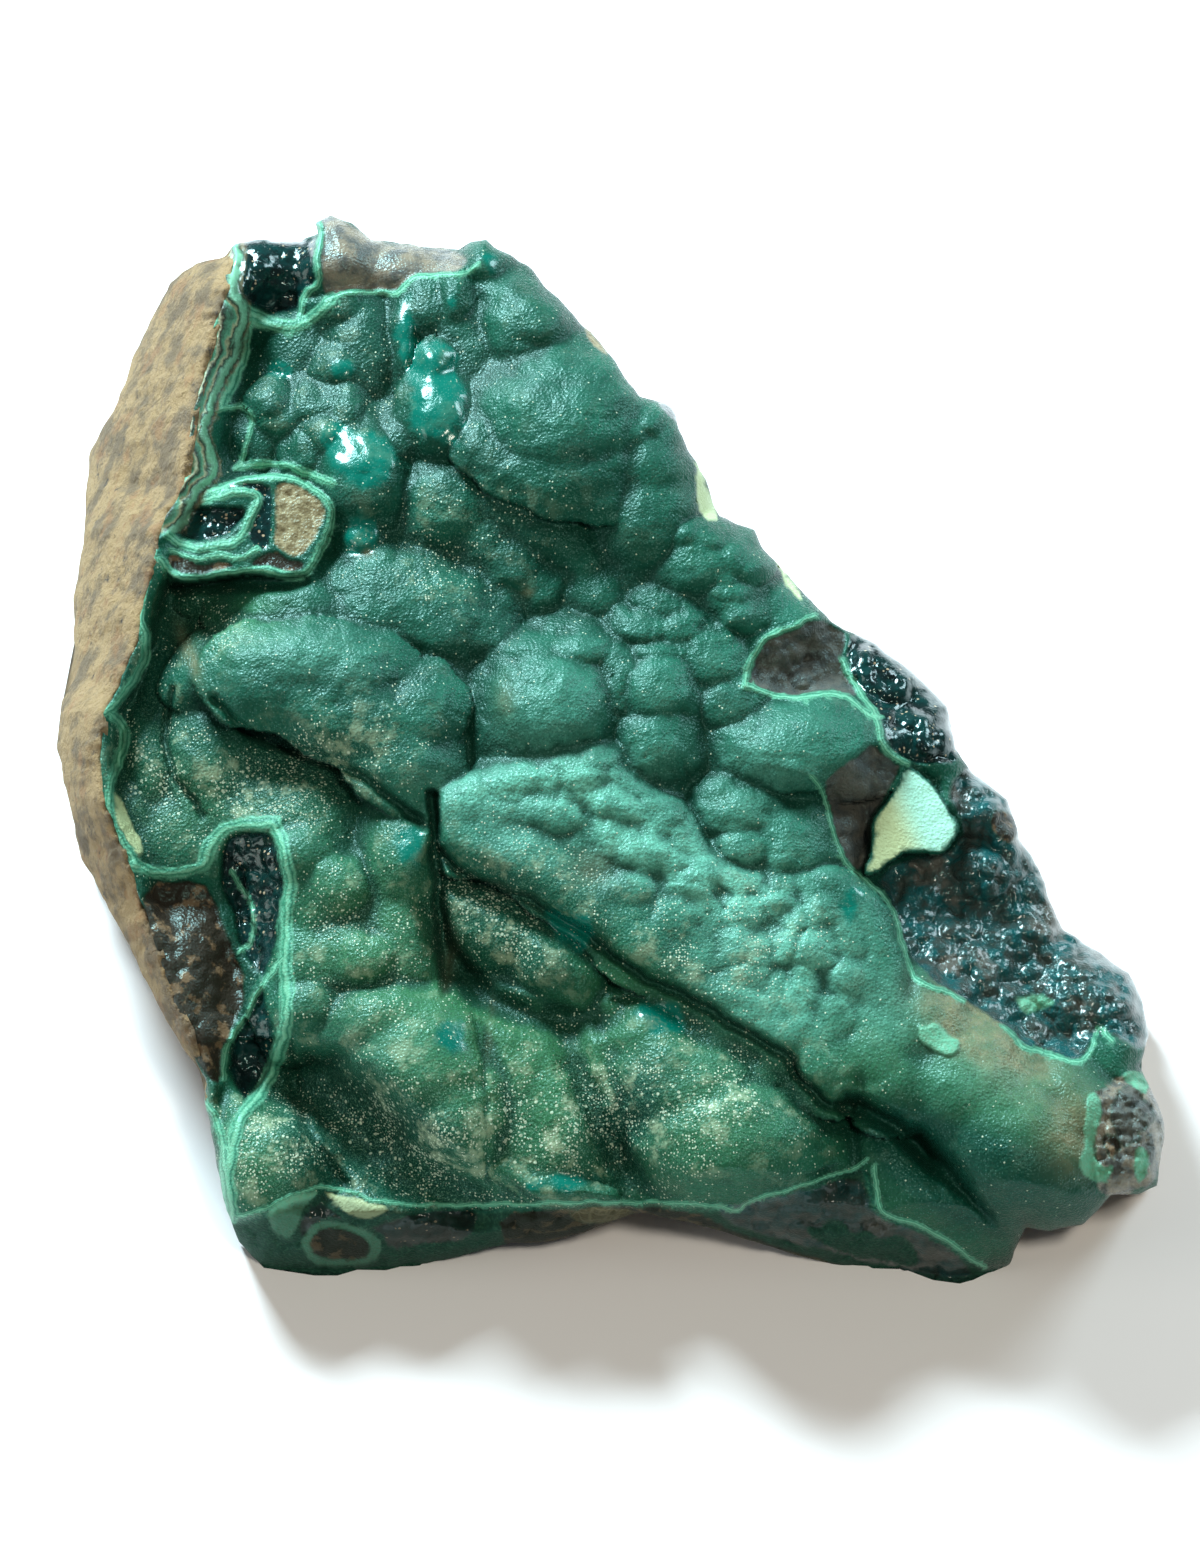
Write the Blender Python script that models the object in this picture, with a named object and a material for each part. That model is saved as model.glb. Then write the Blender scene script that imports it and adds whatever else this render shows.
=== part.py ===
"""Botryoidal malachite on its host rock: one heavy cabinet specimen that lies on its flat underside.

Two solids in metres, +Z up, with the origin in the middle of the underside. The front is at -Y.
The lobed face is drawn on a sheet held square to the line of sight that looks down on it.
"""

from math import cos, radians, sin, tan

import bmesh
import bpy
import numpy as np
from mathutils import Matrix, Vector, noise

MM = 0.001

# The sheet: x steps right and y steps down, a quarter of a millimetre each
STEP = 0.25 * MM
SHEET_MIDDLE_X = 600.0
SHEET_MIDDLE_Y = 775.5
SHEET_FOOT_Y = 1280.0
SIGHT_DIP = radians(50.0)
SIGHT_LENGTH = 1200 * MM

# Where the middle of the underside lies, measured from under the sheet's foot
ORIGIN_ACROSS = -2.2 * MM
ORIGIN_BACK = 133.6 * MM

# The chunk
FACE_SLOPE = radians(18.0)
FACE_FOOT_Y = 1200.0
FACE_FOOT_OUT = 22.3 * MM
RIM_HEIGHT = 8 * MM
RIM_WIDTH = 26.0
RIM_TOP_Y, RIM_TOP_FADE = 250.0, 60.0
RIM_LOW_Y, RIM_LOW_FADE = 900.0, 120.0
FLANK_FALL = 1.1
FLANK_CURVE = 40.0
EDGE_ROUND = 9 * MM
OUTSIDE_FALL = 2.0
BLOCK_X = (20.0, 1200.0)
BLOCK_Y = (180.0, 1330.0)
BLOCK_BACK = -330 * MM
GRID_STEP = 14.0
GRAIN = 1.6 * MM
WALL_ROUGHNESS = 2.6 * MM
WALL_LUMP = 24 * MM
SOFTENING = 0.5
SMOOTH_ANGLE = radians(40)
TRIANGLES = 7600

# The border between the mineral and the rock under it
GAP = 0.3 * MM
BORDER_FOOT = 8 * MM
BORDER_RISE = 0.15
BORDER_WAVE = 3.5 * MM
WAVE_ACROSS, WAVE_BACK, WAVE_SLANT = 31 * MM, 43 * MM, 52 * MM

# At the front left the mineral reaches down past the underside
FRONT_LEFT_X, FRONT_LEFT_Y = -20 * MM, -70 * MM
FRONT_LEFT_FADE = 30 * MM
FRONT_LEFT_DROP = BORDER_FOOT + 12 * MM

# The space that parts the mineral from the rock
SPACE_Y = (150.0, 1340.0)
SPACE_RIGHT = 1240.0
SPACE_TOP = 100 * MM
SPACE_ROWS, SPACE_COLUMNS = 22, 16

# Outline of the specimen on the sheet
OUTLINE = [
    (55, 745), (62, 700), (76, 672), (72, 600), (82, 548), (88, 452), (118, 400), (134, 352),
    (170, 282), (196, 262), (224, 256), (232, 243), (262, 238), (300, 241), (318, 232), (314, 222),
    (330, 214), (352, 222), (372, 238), (420, 245), (460, 249), (470, 242), (486, 238), (502, 250),
    (530, 266), (545, 284), (600, 340), (640, 396), (672, 402), (680, 430), (706, 480), (720, 516),
    (755, 530), (765, 550), (790, 576), (832, 622), (870, 640), (915, 672), (948, 706), (956, 748),
    (975, 774), (1008, 798), (1020, 838), (1040, 868), (1054, 908), (1066, 930), (1098, 950),
    (1130, 972), (1144, 1004), (1150, 1036), (1140, 1066), (1160, 1106), (1166, 1136), (1158, 1186),
    (1140, 1195), (1112, 1196), (1082, 1226), (1050, 1232), (1026, 1228), (1010, 1264), (985, 1277),
    (952, 1286), (900, 1272), (820, 1264), (760, 1244), (700, 1226), (640, 1212), (560, 1240),
    (500, 1246), (440, 1262), (380, 1272), (335, 1278), (265, 1272), (240, 1244), (222, 1200),
    (214, 1150), (204, 1100), (205, 1078), (184, 1052), (160, 1010), (130, 950), (104, 900),
    (80, 858), (68, 800),
]

# Where the rock meets the mineral along the left rim, from the top to the bottom
ROCK_LINE = [
    (238, 150), (228, 262), (222, 300), (212, 340), (196, 400), (190, 440), (184, 484), (160, 530),
    (150, 580), (138, 640), (120, 684), (104, 712), (100, 760), (106, 806), (133, 872), (150, 930),
    (175, 1000), (205, 1084), (205, 1130), (170, 1340),
]

# Broad humps and hollows of the chunk: x, y, half width, half height, height in millimetres
RELIEF = [
    (318, 364, 84, 42, -16), (500, 500, 190, 170, -4), (690, 700, 150, 90, -3),
    (212, 622, 46, 30, -16), (165, 740, 50, 90, -13), (243, 975, 30, 115, -10),
    (360, 900, 56, 80, 5), (395, 1075, 80, 66, 8), (520, 930, 66, 46, 4), (645, 1020, 60, 56, 4),
    (735, 1090, 80, 76, 9), (436, 900, 13, 70, -5), (560, 1040, 50, 80, -2),
    (600, 840, 120, 46, 10), (740, 930, 90, 60, 11), (850, 990, 50, 70, 10),
    (905, 1165, 60, 50, -9), (850, 800, 46, 60, -4), (1000, 880, 90, 80, -4),
    (345, 250, 60, 26, 3),
]

# Lobes: x, y, half width, half height, turn in degrees, how far the crest stands out in millimetres
LOBES = {
    "upper hollow": [
        (262, 374, 34, 24, -30, -14), (300, 344, 44, 34, 0, -11), (350, 325, 50, 38, 0, -2),
        (376, 385, 42, 32, 20, -6), (343, 370, 19, 16, 0, -7), (406, 328, 16, 42, 0, 0),
        (430, 302, 34, 28, 0, 3), (453, 300, 14, 28, 0, 4), (300, 312, 60, 14, 0, -4),
    ],
    "pear": [
        (431, 362, 16, 20, 0, 7), (432, 386, 25, 28, 0, 8), (434, 410, 33, 36, 8, 11),
    ],
    "upper right": [
        (470, 352, 40, 52, 8, 4), (496, 392, 20, 36, -15, 1), (484, 264, 24, 28, 0, 2),
        (516, 284, 28, 26, -30, 0), (530, 322, 46, 44, 0, 9), (541, 316, 27, 23, 0, 11),
        (516, 352, 38, 28, -20, 2), (338, 244, 36, 34, 0, 2), (404, 266, 46, 28, 0, -1),
        (452, 262, 36, 22, 0, -2), (575, 352, 30, 22, -45, 2),
    ],
    "cluster": [
        (285, 418, 30, 26, 0, 0), (325, 407, 34, 34, 0, 4), (331, 433, 17, 19, 0, 5),
        (310, 450, 19, 21, 0, 3), (362, 470, 38, 39, 0, 9), (399, 441, 24, 23, 0, 5),
        (405, 488, 16, 26, 0, 3), (361, 534, 18, 21, 0, 4), (258, 446, 32, 26, 0, -3),
        (396, 538, 32, 30, 0, 1), (334, 496, 22, 26, 0, 0), (438, 442, 30, 18, 0, 0),
    ],
    "centre": [
        (453, 491, 50, 48, 0, 9), (578, 412, 80, 58, 0, 22), (510, 428, 50, 28, 28, 14),
        (550, 464, 74, 22, -14, 18), (650, 486, 44, 62, 0, 14), (650, 436, 38, 28, 0, 16),
        (605, 578, 36, 42, 0, 5), (540, 512, 54, 25, -24, 8), (506, 548, 56, 28, -40, 6),
        (574, 532, 30, 20, -30, 4), (565, 571, 20, 15, 0, 2), (434, 546, 58, 27, -28, 8),
        (466, 584, 58, 28, -38, 7), (430, 608, 88, 42, -6, 10), (378, 580, 60, 34, -14, 7),
        (304, 612, 54, 38, 6, 8), (620, 400, 34, 40, 30, 14),
    ],
    "left pillows": [
        (335, 692, 116, 52, -22, 16), (286, 676, 64, 40, 10, 13), (430, 735, 34, 62, 18, 11),
        (445, 672, 29, 27, 0, 8), (480, 658, 24, 24, 0, 4), (550, 600, 28, 24, 0, 2),
        (566, 622, 40, 18, 0, 1), (515, 624, 20, 22, 0, 1), (222, 682, 42, 38, 0, 1),
        (470, 700, 26, 40, 0, 3), (500, 640, 40, 20, 0, 0),
    ],
    "left pocket": [
        (202, 716, 36, 52, -6, -6), (146, 744, 34, 58, 0, -8), (172, 830, 66, 48, 0, -2),
        (210, 610, 40, 40, 0, -8),
    ],
    "middle right": [
        (558, 692, 52, 44, 0, 20), (566, 652, 44, 22, 0, 15), (495, 716, 36, 40, 10, 11),
        (590, 734, 42, 30, 0, 9), (621, 664, 30, 35, 20, 13), (586, 630, 28, 16, 0, 8),
        (663, 682, 32, 32, 0, 16), (658, 722, 44, 48, 0, 15), (645, 625, 27, 19, 0, 11),
        (681, 630, 20, 17, 0, 10), (666, 602, 38, 23, 0, 9), (655, 646, 24, 15, 0, 11),
        (698, 552, 48, 40, 0, 12), (738, 550, 30, 28, 0, 11), (736, 577, 27, 20, 0, 12),
        (738, 608, 21, 15, 0, 12), (718, 648, 42, 38, 0, 10), (736, 690, 46, 32, 0, 9),
        (712, 740, 26, 28, 0, 4), (798, 734, 70, 34, 0, 18), (790, 760, 60, 24, -10, 14),
        (744, 788, 48, 28, 0, 14), (788, 818, 42, 40, 0, 15), (742, 842, 28, 22, 0, 14),
        (800, 614, 40, 22, 18, 7), (691, 812, 26, 24, 0, 6), (770, 600, 40, 30, -40, 6),
        (640, 765, 40, 26, 0, 4),
    ],
    "sheet": [
        (488, 846, 72, 26, -22, 12), (590, 906, 76, 28, -36, 12), (690, 972, 74, 28, -33, 12),
        (780, 1036, 64, 28, -40, 12), (836, 1076, 30, 24, -30, 11), (462, 798, 44, 28, 10, 12),
        (526, 776, 38, 22, 0, 12), (590, 768, 50, 26, -5, 16), (622, 802, 64, 26, -6, 15),
        (540, 810, 56, 24, -6, 14), (644, 848, 66, 32, -22, 15), (706, 886, 66, 36, -24, 15),
        (592, 850, 56, 28, -24, 13), (742, 944, 32, 48, 16, 16), (792, 950, 36, 52, 10, 16),
        (838, 962, 36, 60, 24, 15), (822, 910, 36, 28, 0, 13), (876, 944, 28, 54, 32, 12),
        (884, 1020, 36, 66, 28, 14), (782, 888, 54, 24, 0, 12), (740, 1000, 60, 30, -36, 13),
    ],
    "lower slab": [
        (520, 926, 82, 50, -26, 5), (655, 1024, 66, 50, -34, 5), (735, 1096, 96, 80, -30, 10),
        (402, 1080, 86, 80, -24, 9), (352, 900, 64, 84, 0, 6), (408, 868, 24, 50, 0, 7),
        (262, 1150, 48, 52, 0, 1), (545, 1130, 70, 76, 0, 2),
    ],
    "arm": [
        (925, 1052, 60, 50, -32, 15), (1000, 1112, 84, 60, -38, 21), (1046, 1166, 62, 56, -34, 20),
        (905, 1140, 64, 16, -44, 1), (955, 1196, 76, 15, -44, 0), (1118, 1136, 48, 58, 0, 12),
    ],
    "dark right side": [
        (922, 742, 42, 25, -16, 7), (884, 676, 38, 34, 0, 4), (912, 806, 46, 42, 0, 4),
        (1004, 822, 26, 26, 0, 1), (1090, 1000, 54, 44, -40, 3), (1110, 1060, 40, 40, 0, 6),
    ],
}
LOBE_DEPTH = 1.0
LEAST_DEPTH = 6 * MM

# The nodule on the left rim, broken across: x, y, half width, half height, crest, what is broken off
NODULE = (248, 522, 92, 62, 14 * MM, 7 * MM)
NODULE_DEPTH = 22 * MM

# The mould of the outline reaches from before the face to behind the broken back
MOULD_NEAR, MOULD_FAR = 90 * MM, -340 * MM
MOULD_FOOT = -3 * MM

# Broken walls that the line of sight doesn't reach: compass angle from +X, lean, distance from the pivot
WALL_PIVOT = (0.0, 120 * MM)
WALLS = [
    (radians(93), radians(6), 154 * MM), (radians(63), radians(11), 128 * MM),
    (radians(38), radians(17), 90 * MM), (radians(13), radians(9), 128 * MM),
]


def place(x, y, out):
    """The point of the part that shows at x, y on the sheet and stands out from it by out."""
    spread = STEP * (1 - out / SIGHT_LENGTH)
    across = (x - SHEET_MIDDLE_X) * spread
    up = (SHEET_FOOT_Y - SHEET_MIDDLE_Y) * STEP + (SHEET_MIDDLE_Y - y) * spread
    back = sin(SIGHT_DIP) * up - cos(SIGHT_DIP) * out
    high = cos(SIGHT_DIP) * up + sin(SIGHT_DIP) * out
    return np.stack(np.broadcast_arrays(across - ORIGIN_ACROSS, back - ORIGIN_BACK, high), axis=-1)


def face(y):
    """How far the sloping face stands out from the sheet at y, before its relief."""
    return FACE_FOOT_OUT - (FACE_FOOT_Y - y) * STEP / tan(SIGHT_DIP + FACE_SLOPE)


def rock_line(y):
    """The x at which rock and mineral meet on the left rim."""
    line = np.array(ROCK_LINE, float)
    return np.interp(y, line[:, 1], line[:, 0])


def inside_outline(x, y):
    """How far a place lies inside the outline, in metres, and less than zero outside it."""
    corners = np.array(OUTLINE, float)
    ends = np.roll(corners, -1, axis=0)
    nearest = np.full(np.shape(x), np.inf)
    within = np.zeros(np.shape(x), bool)
    for (x0, y0), (x1, y1) in zip(corners, ends):
        along = ((x - x0) * (x1 - x0) + (y - y0) * (y1 - y0)) / ((x1 - x0) ** 2 + (y1 - y0) ** 2)
        along = np.clip(along, 0, 1)
        nearest = np.minimum(nearest, np.hypot(x - x0 - along * (x1 - x0), y - y0 - along * (y1 - y0)))
        if y0 != y1:
            crossed = (y0 > y) != (y1 > y)
            within ^= crossed & (x < x0 + (y - y0) * (x1 - x0) / (y1 - y0))
    return np.where(within, nearest, -nearest) * STEP


def chunk_out(x, y):
    """How far the chunk without its lobes stands out from the sheet."""
    out = face(y)
    for x0, y0, wide, tall, height in RELIEF:
        out = out + height * MM * np.exp(-(((x - x0) / wide) ** 2) - ((y - y0) / tall) ** 2)
    beside = x - rock_line(y)
    fade = np.clip((RIM_LOW_Y - y) / RIM_LOW_FADE, 0, 1) * np.clip((y - RIM_TOP_Y) / RIM_TOP_FADE, 0, 1)
    out = out + RIM_HEIGHT * fade * np.exp(-((beside / RIM_WIDTH) ** 2))
    flank = np.clip(-beside, 0, None) * STEP
    out = out - FLANK_FALL * flank - FLANK_CURVE * flank**2
    up = (SHEET_FOOT_Y - SHEET_MIDDLE_Y) * STEP + (SHEET_MIDDLE_Y - y) * STEP
    out = np.minimum(out, tan(SIGHT_DIP) * up)
    depth = inside_outline(x, y)
    bend = np.clip((EDGE_ROUND - depth) / EDGE_ROUND, 0, 1)
    return out - EDGE_ROUND * (1 - np.sqrt(1 - bend**2)) - OUTSIDE_FALL * np.clip(-depth, 0, None)


def to_object(name, bm):
    """An object made of a bmesh, which is freed."""
    bmesh.ops.recalc_face_normals(bm, faces=bm.faces)
    mesh = bpy.data.meshes.new(name)
    bm.to_mesh(mesh)
    bm.free()
    made = bpy.data.objects.new(name, mesh)
    bpy.context.scene.collection.objects.link(made)
    return made


def bake(obj):
    """Replaces an object's mesh by what its modifiers make of it."""
    bpy.context.view_layer.update()
    graph = bpy.context.evaluated_depsgraph_get()
    mesh = bpy.data.meshes.new_from_object(obj.evaluated_get(graph))
    obj.modifiers.clear()
    obj.data = mesh


def combine(obj, other, operation):
    """Cuts or meets an object with another, which stays in the file as a hidden cutter."""
    other.hide_render = True
    other.display_type = "WIRE"
    boolean = obj.modifiers.new("Combine", "BOOLEAN")
    boolean.object = other
    boolean.operation = operation
    boolean.solver = "EXACT"
    bake(obj)


def knit(obj, grain, rounds):
    """Melts overlapping shapes into one skin and takes the sharpness off it."""
    skin = obj.modifiers.new("Skin", "REMESH")
    skin.mode = "VOXEL"
    skin.voxel_size = grain
    if rounds:
        soften = obj.modifiers.new("Soften", "SMOOTH")
        soften.factor = SOFTENING
        soften.iterations = rounds
    bake(obj)


def add_block(bm, columns, rows, top, bottom):
    """A closed block over a grid of places on the sheet, between two heights at each of them."""
    layers = [place(columns, rows, out) for out in (top, bottom)]
    verts = [[[bm.verts.new(point) for point in row] for row in layer] for layer in layers]
    for layer in verts:
        for upper, lower in zip(layer, layer[1:]):
            for left in range(len(upper) - 1):
                bm.faces.new((upper[left], upper[left + 1], lower[left + 1], lower[left]))
    rims = [
        layer[0] + [row[-1] for row in layer[1:-1]] + layer[-1][::-1] + [row[0] for row in layer[-2:0:-1]]
        for layer in verts
    ]
    for step in range(len(rims[0])):
        bm.faces.new((rims[0][step - 1], rims[0][step], rims[1][step], rims[1][step - 1]))


def add_lobe(bm, x, y, wide, tall, turn, crest, depth, broken=0.0):
    """An ellipsoid whose crest stands out from the sheet by crest, broken flat across its top."""
    centre = Vector(place(x, y, crest - depth))
    sight = Matrix.Rotation(radians(90) - SIGHT_DIP, 3, "X")
    made = bmesh.ops.create_icosphere(bm, subdivisions=3, radius=1.0)["verts"]
    size = Matrix.Diagonal((wide * STEP, tall * STEP, depth))
    turned = Matrix.Rotation(turn, 3, "Z")
    for vert in made:
        local = turned @ (size @ vert.co)
        local.z = min(local.z, depth - broken)
        vert.co = centre + sight @ local


def lobed_chunk():
    """The chunk with its lobes and its nodule, knit into one skin and larger all round than the outline."""
    bm = bmesh.new()
    columns, rows = np.meshgrid(np.arange(*BLOCK_X, GRID_STEP), np.arange(*BLOCK_Y, GRID_STEP))
    add_block(bm, columns, rows, chunk_out(columns, rows), BLOCK_BACK)
    for lobes in LOBES.values():
        for x, y, wide, tall, turn, rise in lobes:
            depth = max(LEAST_DEPTH, LOBE_DEPTH * np.sqrt(wide * tall) * STEP)
            add_lobe(bm, x, y, wide, tall, radians(turn), face(y) + rise * MM, depth)
    x, y, wide, tall, rise, broken = NODULE
    add_lobe(bm, x, y, wide, tall, 0.0, face(y) + rise + broken, NODULE_DEPTH, broken)
    made = to_object("lobed_chunk", bm)
    knit(made, GRAIN, 0)
    return made


def mould():
    """The space that the outline leaves, seen along the line of sight, cut by the broken walls."""
    bm = bmesh.new()
    near, far = ([bm.verts.new(place(x, y, out)) for x, y in OUTLINE] for out in (MOULD_NEAR, MOULD_FAR))
    bm.faces.new(near)
    bm.faces.new(far[::-1])
    for step in range(len(near)):
        bm.faces.new((near[step - 1], near[step], far[step], far[step - 1]))
    cuts = [(Vector((0, 0, -1)), Vector((0, 0, MOULD_FOOT)))]
    pivot = Vector((WALL_PIVOT[0] - ORIGIN_ACROSS, WALL_PIVOT[1] - ORIGIN_BACK, 0))
    for compass, lean, distance in WALLS:
        flat = Vector((cos(compass), sin(compass), 0))
        cuts.append((flat * cos(lean) + Vector((0, 0, sin(lean))), pivot + flat * distance))
    for normal, point in cuts:
        every = bm.verts[:] + bm.edges[:] + bm.faces[:]
        bmesh.ops.bisect_plane(bm, geom=every, plane_co=point, plane_no=normal, clear_outer=True)
        bmesh.ops.holes_fill(bm, edges=[edge for edge in bm.edges if edge.is_boundary])
    return to_object("mould", bm)


def roughen_walls(obj):
    """Gives the walls that the sight doesn't reach the lumps of a break, and leaves the lobed face alone."""
    sight = Vector((0, -cos(SIGHT_DIP), sin(SIGHT_DIP)))
    moves = []
    for vert in obj.data.vertices:
        away = max(0.0, -vert.normal.dot(sight)) * min(1.0, max(0.0, 1 - abs(vert.normal.z)) * 2)
        lump = noise.fractal(vert.co / WALL_LUMP, 0.7, 2.1, 4)
        moves.append(vert.normal * (away * lump * WALL_ROUGHNESS))
    for vert, move in zip(obj.data.vertices, moves):
        vert.co += move


def thin_out(obj, triangles):
    """Brings a mesh down to a number of triangles, keeping its forms."""
    obj.data.calc_loop_triangles()
    fewer = obj.modifiers.new("Thin out", "DECIMATE")
    fewer.ratio = triangles / len(obj.data.loop_triangles)
    fewer.use_collapse_triangulate = True
    bake(obj)


def floor_block():
    """All that lies under the surface that the specimen rests on."""
    bm = bmesh.new()
    size = 1000 * MM
    bmesh.ops.create_cube(bm, size=size, matrix=Matrix.Translation((0, 0, -size / 2)))
    return to_object("floor_block", bm)


def border_height(x, y):
    """How high over the underside the border between rock and mineral lies, at a place in plan."""
    wave = np.sin(x / WAVE_ACROSS + 0.7) * np.cos(y / WAVE_BACK) + 0.6 * np.sin((x + 2 * y) / WAVE_SLANT)
    left = np.clip((FRONT_LEFT_X - x) / FRONT_LEFT_FADE, 0, 1)
    front = np.clip((FRONT_LEFT_Y - y) / FRONT_LEFT_FADE, 0, 1)
    rise = BORDER_FOOT + BORDER_RISE * np.clip(y + ORIGIN_BACK, 0, None) + BORDER_WAVE * wave
    return rise - left * front * FRONT_LEFT_DROP


def border_out(x, y):
    """Where the line of sight through x, y on the sheet meets the border."""
    out = np.zeros(np.shape(x))
    for _ in range(12):
        point = place(x, y, out)
        out = out + (border_height(point[..., 0], point[..., 1]) - point[..., 2]) * 0.8
    return out


def mineral_space(margin):
    """The space right of the rock line and over the border, let out by a margin all round."""
    bm = bmesh.new()
    ys = np.linspace(*SPACE_Y, SPACE_ROWS)[:, None]
    left = rock_line(ys) - margin / STEP
    columns = left + (SPACE_RIGHT - left) * np.linspace(0, 1, SPACE_COLUMNS)
    rows = ys + np.zeros(SPACE_COLUMNS)
    add_block(bm, columns, rows, SPACE_TOP, border_out(columns, rows) - margin / cos(SIGHT_DIP))
    return to_object("mineral_space", bm)


def keep_largest(obj):
    """Drops the chips that a cut leaves beside the piece."""
    bm = bmesh.new()
    bm.from_mesh(obj.data)
    waiting = set(bm.verts)
    bodies = []
    while waiting:
        body = {waiting.pop()}
        edge_of_it = set(body)
        while edge_of_it:
            beside = {edge.other_vert(vert) for vert in edge_of_it for edge in vert.link_edges}
            edge_of_it = beside - body
            body |= edge_of_it
        waiting -= body
        bodies.append(body)
    bodies.sort(key=len)
    for body in bodies[:-1]:
        bmesh.ops.delete(bm, geom=list(body), context="VERTS")
    bm.to_mesh(obj.data)
    bm.free()


def stone(name, colour, roughness):
    """A plain stone."""
    made = bpy.data.materials.new(name)
    made.use_nodes = True
    shader = made.node_tree.nodes["Principled BSDF"]
    shader.inputs["Base Color"].default_value = (*colour, 1.0)
    shader.inputs["Roughness"].default_value = roughness
    shader.inputs["Metallic"].default_value = 0.0
    made.diffuse_color = (*colour, 1.0)
    return made


def clear_scene():
    """Removes what a new file starts with."""
    for obj in list(bpy.data.objects):
        bpy.data.objects.remove(obj)


def main():
    """Models the specimen and parts it into its two stones."""
    clear_scene()
    whole = lobed_chunk()
    combine(whole, mould(), "INTERSECT")
    knit(whole, GRAIN, 1)
    roughen_walls(whole)
    thin_out(whole, TRIANGLES)
    combine(whole, floor_block(), "DIFFERENCE")

    malachite = whole
    malachite.name = "malachite"
    rock = malachite.copy()
    rock.name = "host_rock"
    bpy.context.scene.collection.objects.link(rock)
    combine(malachite, mineral_space(0.0), "INTERSECT")
    combine(rock, mineral_space(GAP), "DIFFERENCE")
    for piece in (malachite, rock):
        keep_largest(piece)
        piece.data.shade_smooth()
        piece.data.set_sharp_from_angle(angle=SMOOTH_ANGLE)
    malachite.data.materials.append(stone("malachite_green", (0.02, 0.15, 0.10), 0.45))
    rock.data.materials.append(stone("buff_rock", (0.42, 0.33, 0.21), 0.9))


main()
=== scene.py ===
"""Looks of a cabinet specimen of botryoidal malachite that lies on its flat underside.

The lobed face is drawn on a sheet held square to a line of sight that looks down on it, a quarter of a
millimetre to a step. Every feature has its place on that sheet and stands out from it by so many millimetres.
"""

import logging
from dataclasses import dataclass
from enum import Enum
from math import cos, pi, radians, sin, tan
from typing import Callable, Iterable, Sequence

import bpy
import numpy as np
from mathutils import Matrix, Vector


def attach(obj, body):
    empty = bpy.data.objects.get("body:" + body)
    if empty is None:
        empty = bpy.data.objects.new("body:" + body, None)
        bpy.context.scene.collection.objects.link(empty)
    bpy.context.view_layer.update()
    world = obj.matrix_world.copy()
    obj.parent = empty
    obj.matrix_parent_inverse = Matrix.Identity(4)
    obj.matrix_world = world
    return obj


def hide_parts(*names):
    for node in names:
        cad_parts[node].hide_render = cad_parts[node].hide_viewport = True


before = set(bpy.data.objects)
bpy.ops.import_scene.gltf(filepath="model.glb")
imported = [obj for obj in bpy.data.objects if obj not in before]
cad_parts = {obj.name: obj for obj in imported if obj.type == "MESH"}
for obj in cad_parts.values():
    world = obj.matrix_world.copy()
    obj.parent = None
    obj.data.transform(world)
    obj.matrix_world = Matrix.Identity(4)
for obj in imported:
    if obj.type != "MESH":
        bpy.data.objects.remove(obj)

LOG = logging.getLogger("malachite")
MM = 0.001
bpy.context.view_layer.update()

Array = np.ndarray
Colour = tuple[float, float, float]
Point = tuple[float, float]
Shift = tuple[Array, Array]
Field = Callable[[Array, Array], Array]
Socket = bpy.types.NodeSocket


@dataclass(frozen=True)
class Sheet:
    """The sheet that the face is drawn on, and the line of sight square to it."""

    step: float = 0.25 * MM
    middle_x: float = 600.0
    middle_y: float = 775.5
    foot_y: float = 1280.0
    dip: float = radians(50)
    length: float = 1200 * MM
    origin_across: float = -2.2 * MM
    origin_back: float = 133.6 * MM

    def place(self, x: Array, y: Array, out: Array) -> Array:
        """Finds the points that show at places on the sheet.

        Args:
            x: Steps to the right.
            y: Steps down.
            out: How far each point stands out from the sheet, in metres.

        Returns:
            The points, one row of three numbers each.
        """
        spread = self.step * (1 - out / self.length)
        across = (x - self.middle_x) * spread
        up = (self.foot_y - self.middle_y) * self.step + (self.middle_y - y) * spread
        back = sin(self.dip) * up - cos(self.dip) * out
        high = cos(self.dip) * up + sin(self.dip) * out
        return np.stack([across - self.origin_across, back - self.origin_back, high], axis=-1)

    def read(self, points: Array) -> tuple[Array, Array, Array]:
        """Finds where points show on the sheet.

        Args:
            points: The points, one row of three numbers each.

        Returns:
            Steps to the right, steps down and how far each point stands out from the sheet, in metres.
        """
        across = points[:, 0] + self.origin_across
        back = points[:, 1] + self.origin_back
        high = points[:, 2]
        out = sin(self.dip) * high - cos(self.dip) * back
        up = sin(self.dip) * back + cos(self.dip) * high
        spread = self.step * (1 - out / self.length)
        x = self.middle_x + across / spread
        y = self.middle_y - (up - (self.foot_y - self.middle_y) * self.step) / spread
        return x, y, out


SHEET = Sheet()


SCRAMBLE = (374761393, 668265263, 974634777, 1274126177)
ALL_BITS = 0xFFFFFFFF
HALF_BITS = 0xFFFF
NOISE_GAIN = 1.5
KNOB_STRAY = 0.72
BRIM = 0.82
MARGIN = 10.0
TINY = 1e-9

def lattice(column: Array, row: Array, seed: int) -> Array:
    """Works out a number from 0 to 1 for each crossing of a grid, the same at each run.

    Args:
        column: The crossings' columns.
        row: The crossings' rows.
        seed: Which set of numbers.

    Returns:
        The numbers.
    """
    mixed = (column * SCRAMBLE[0] + row * SCRAMBLE[1] + seed * SCRAMBLE[2]) & ALL_BITS
    mixed = ((mixed ^ (mixed >> 13)) * SCRAMBLE[3]) & ALL_BITS
    return ((mixed ^ (mixed >> 16)) & HALF_BITS) / float(HALF_BITS)


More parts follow.
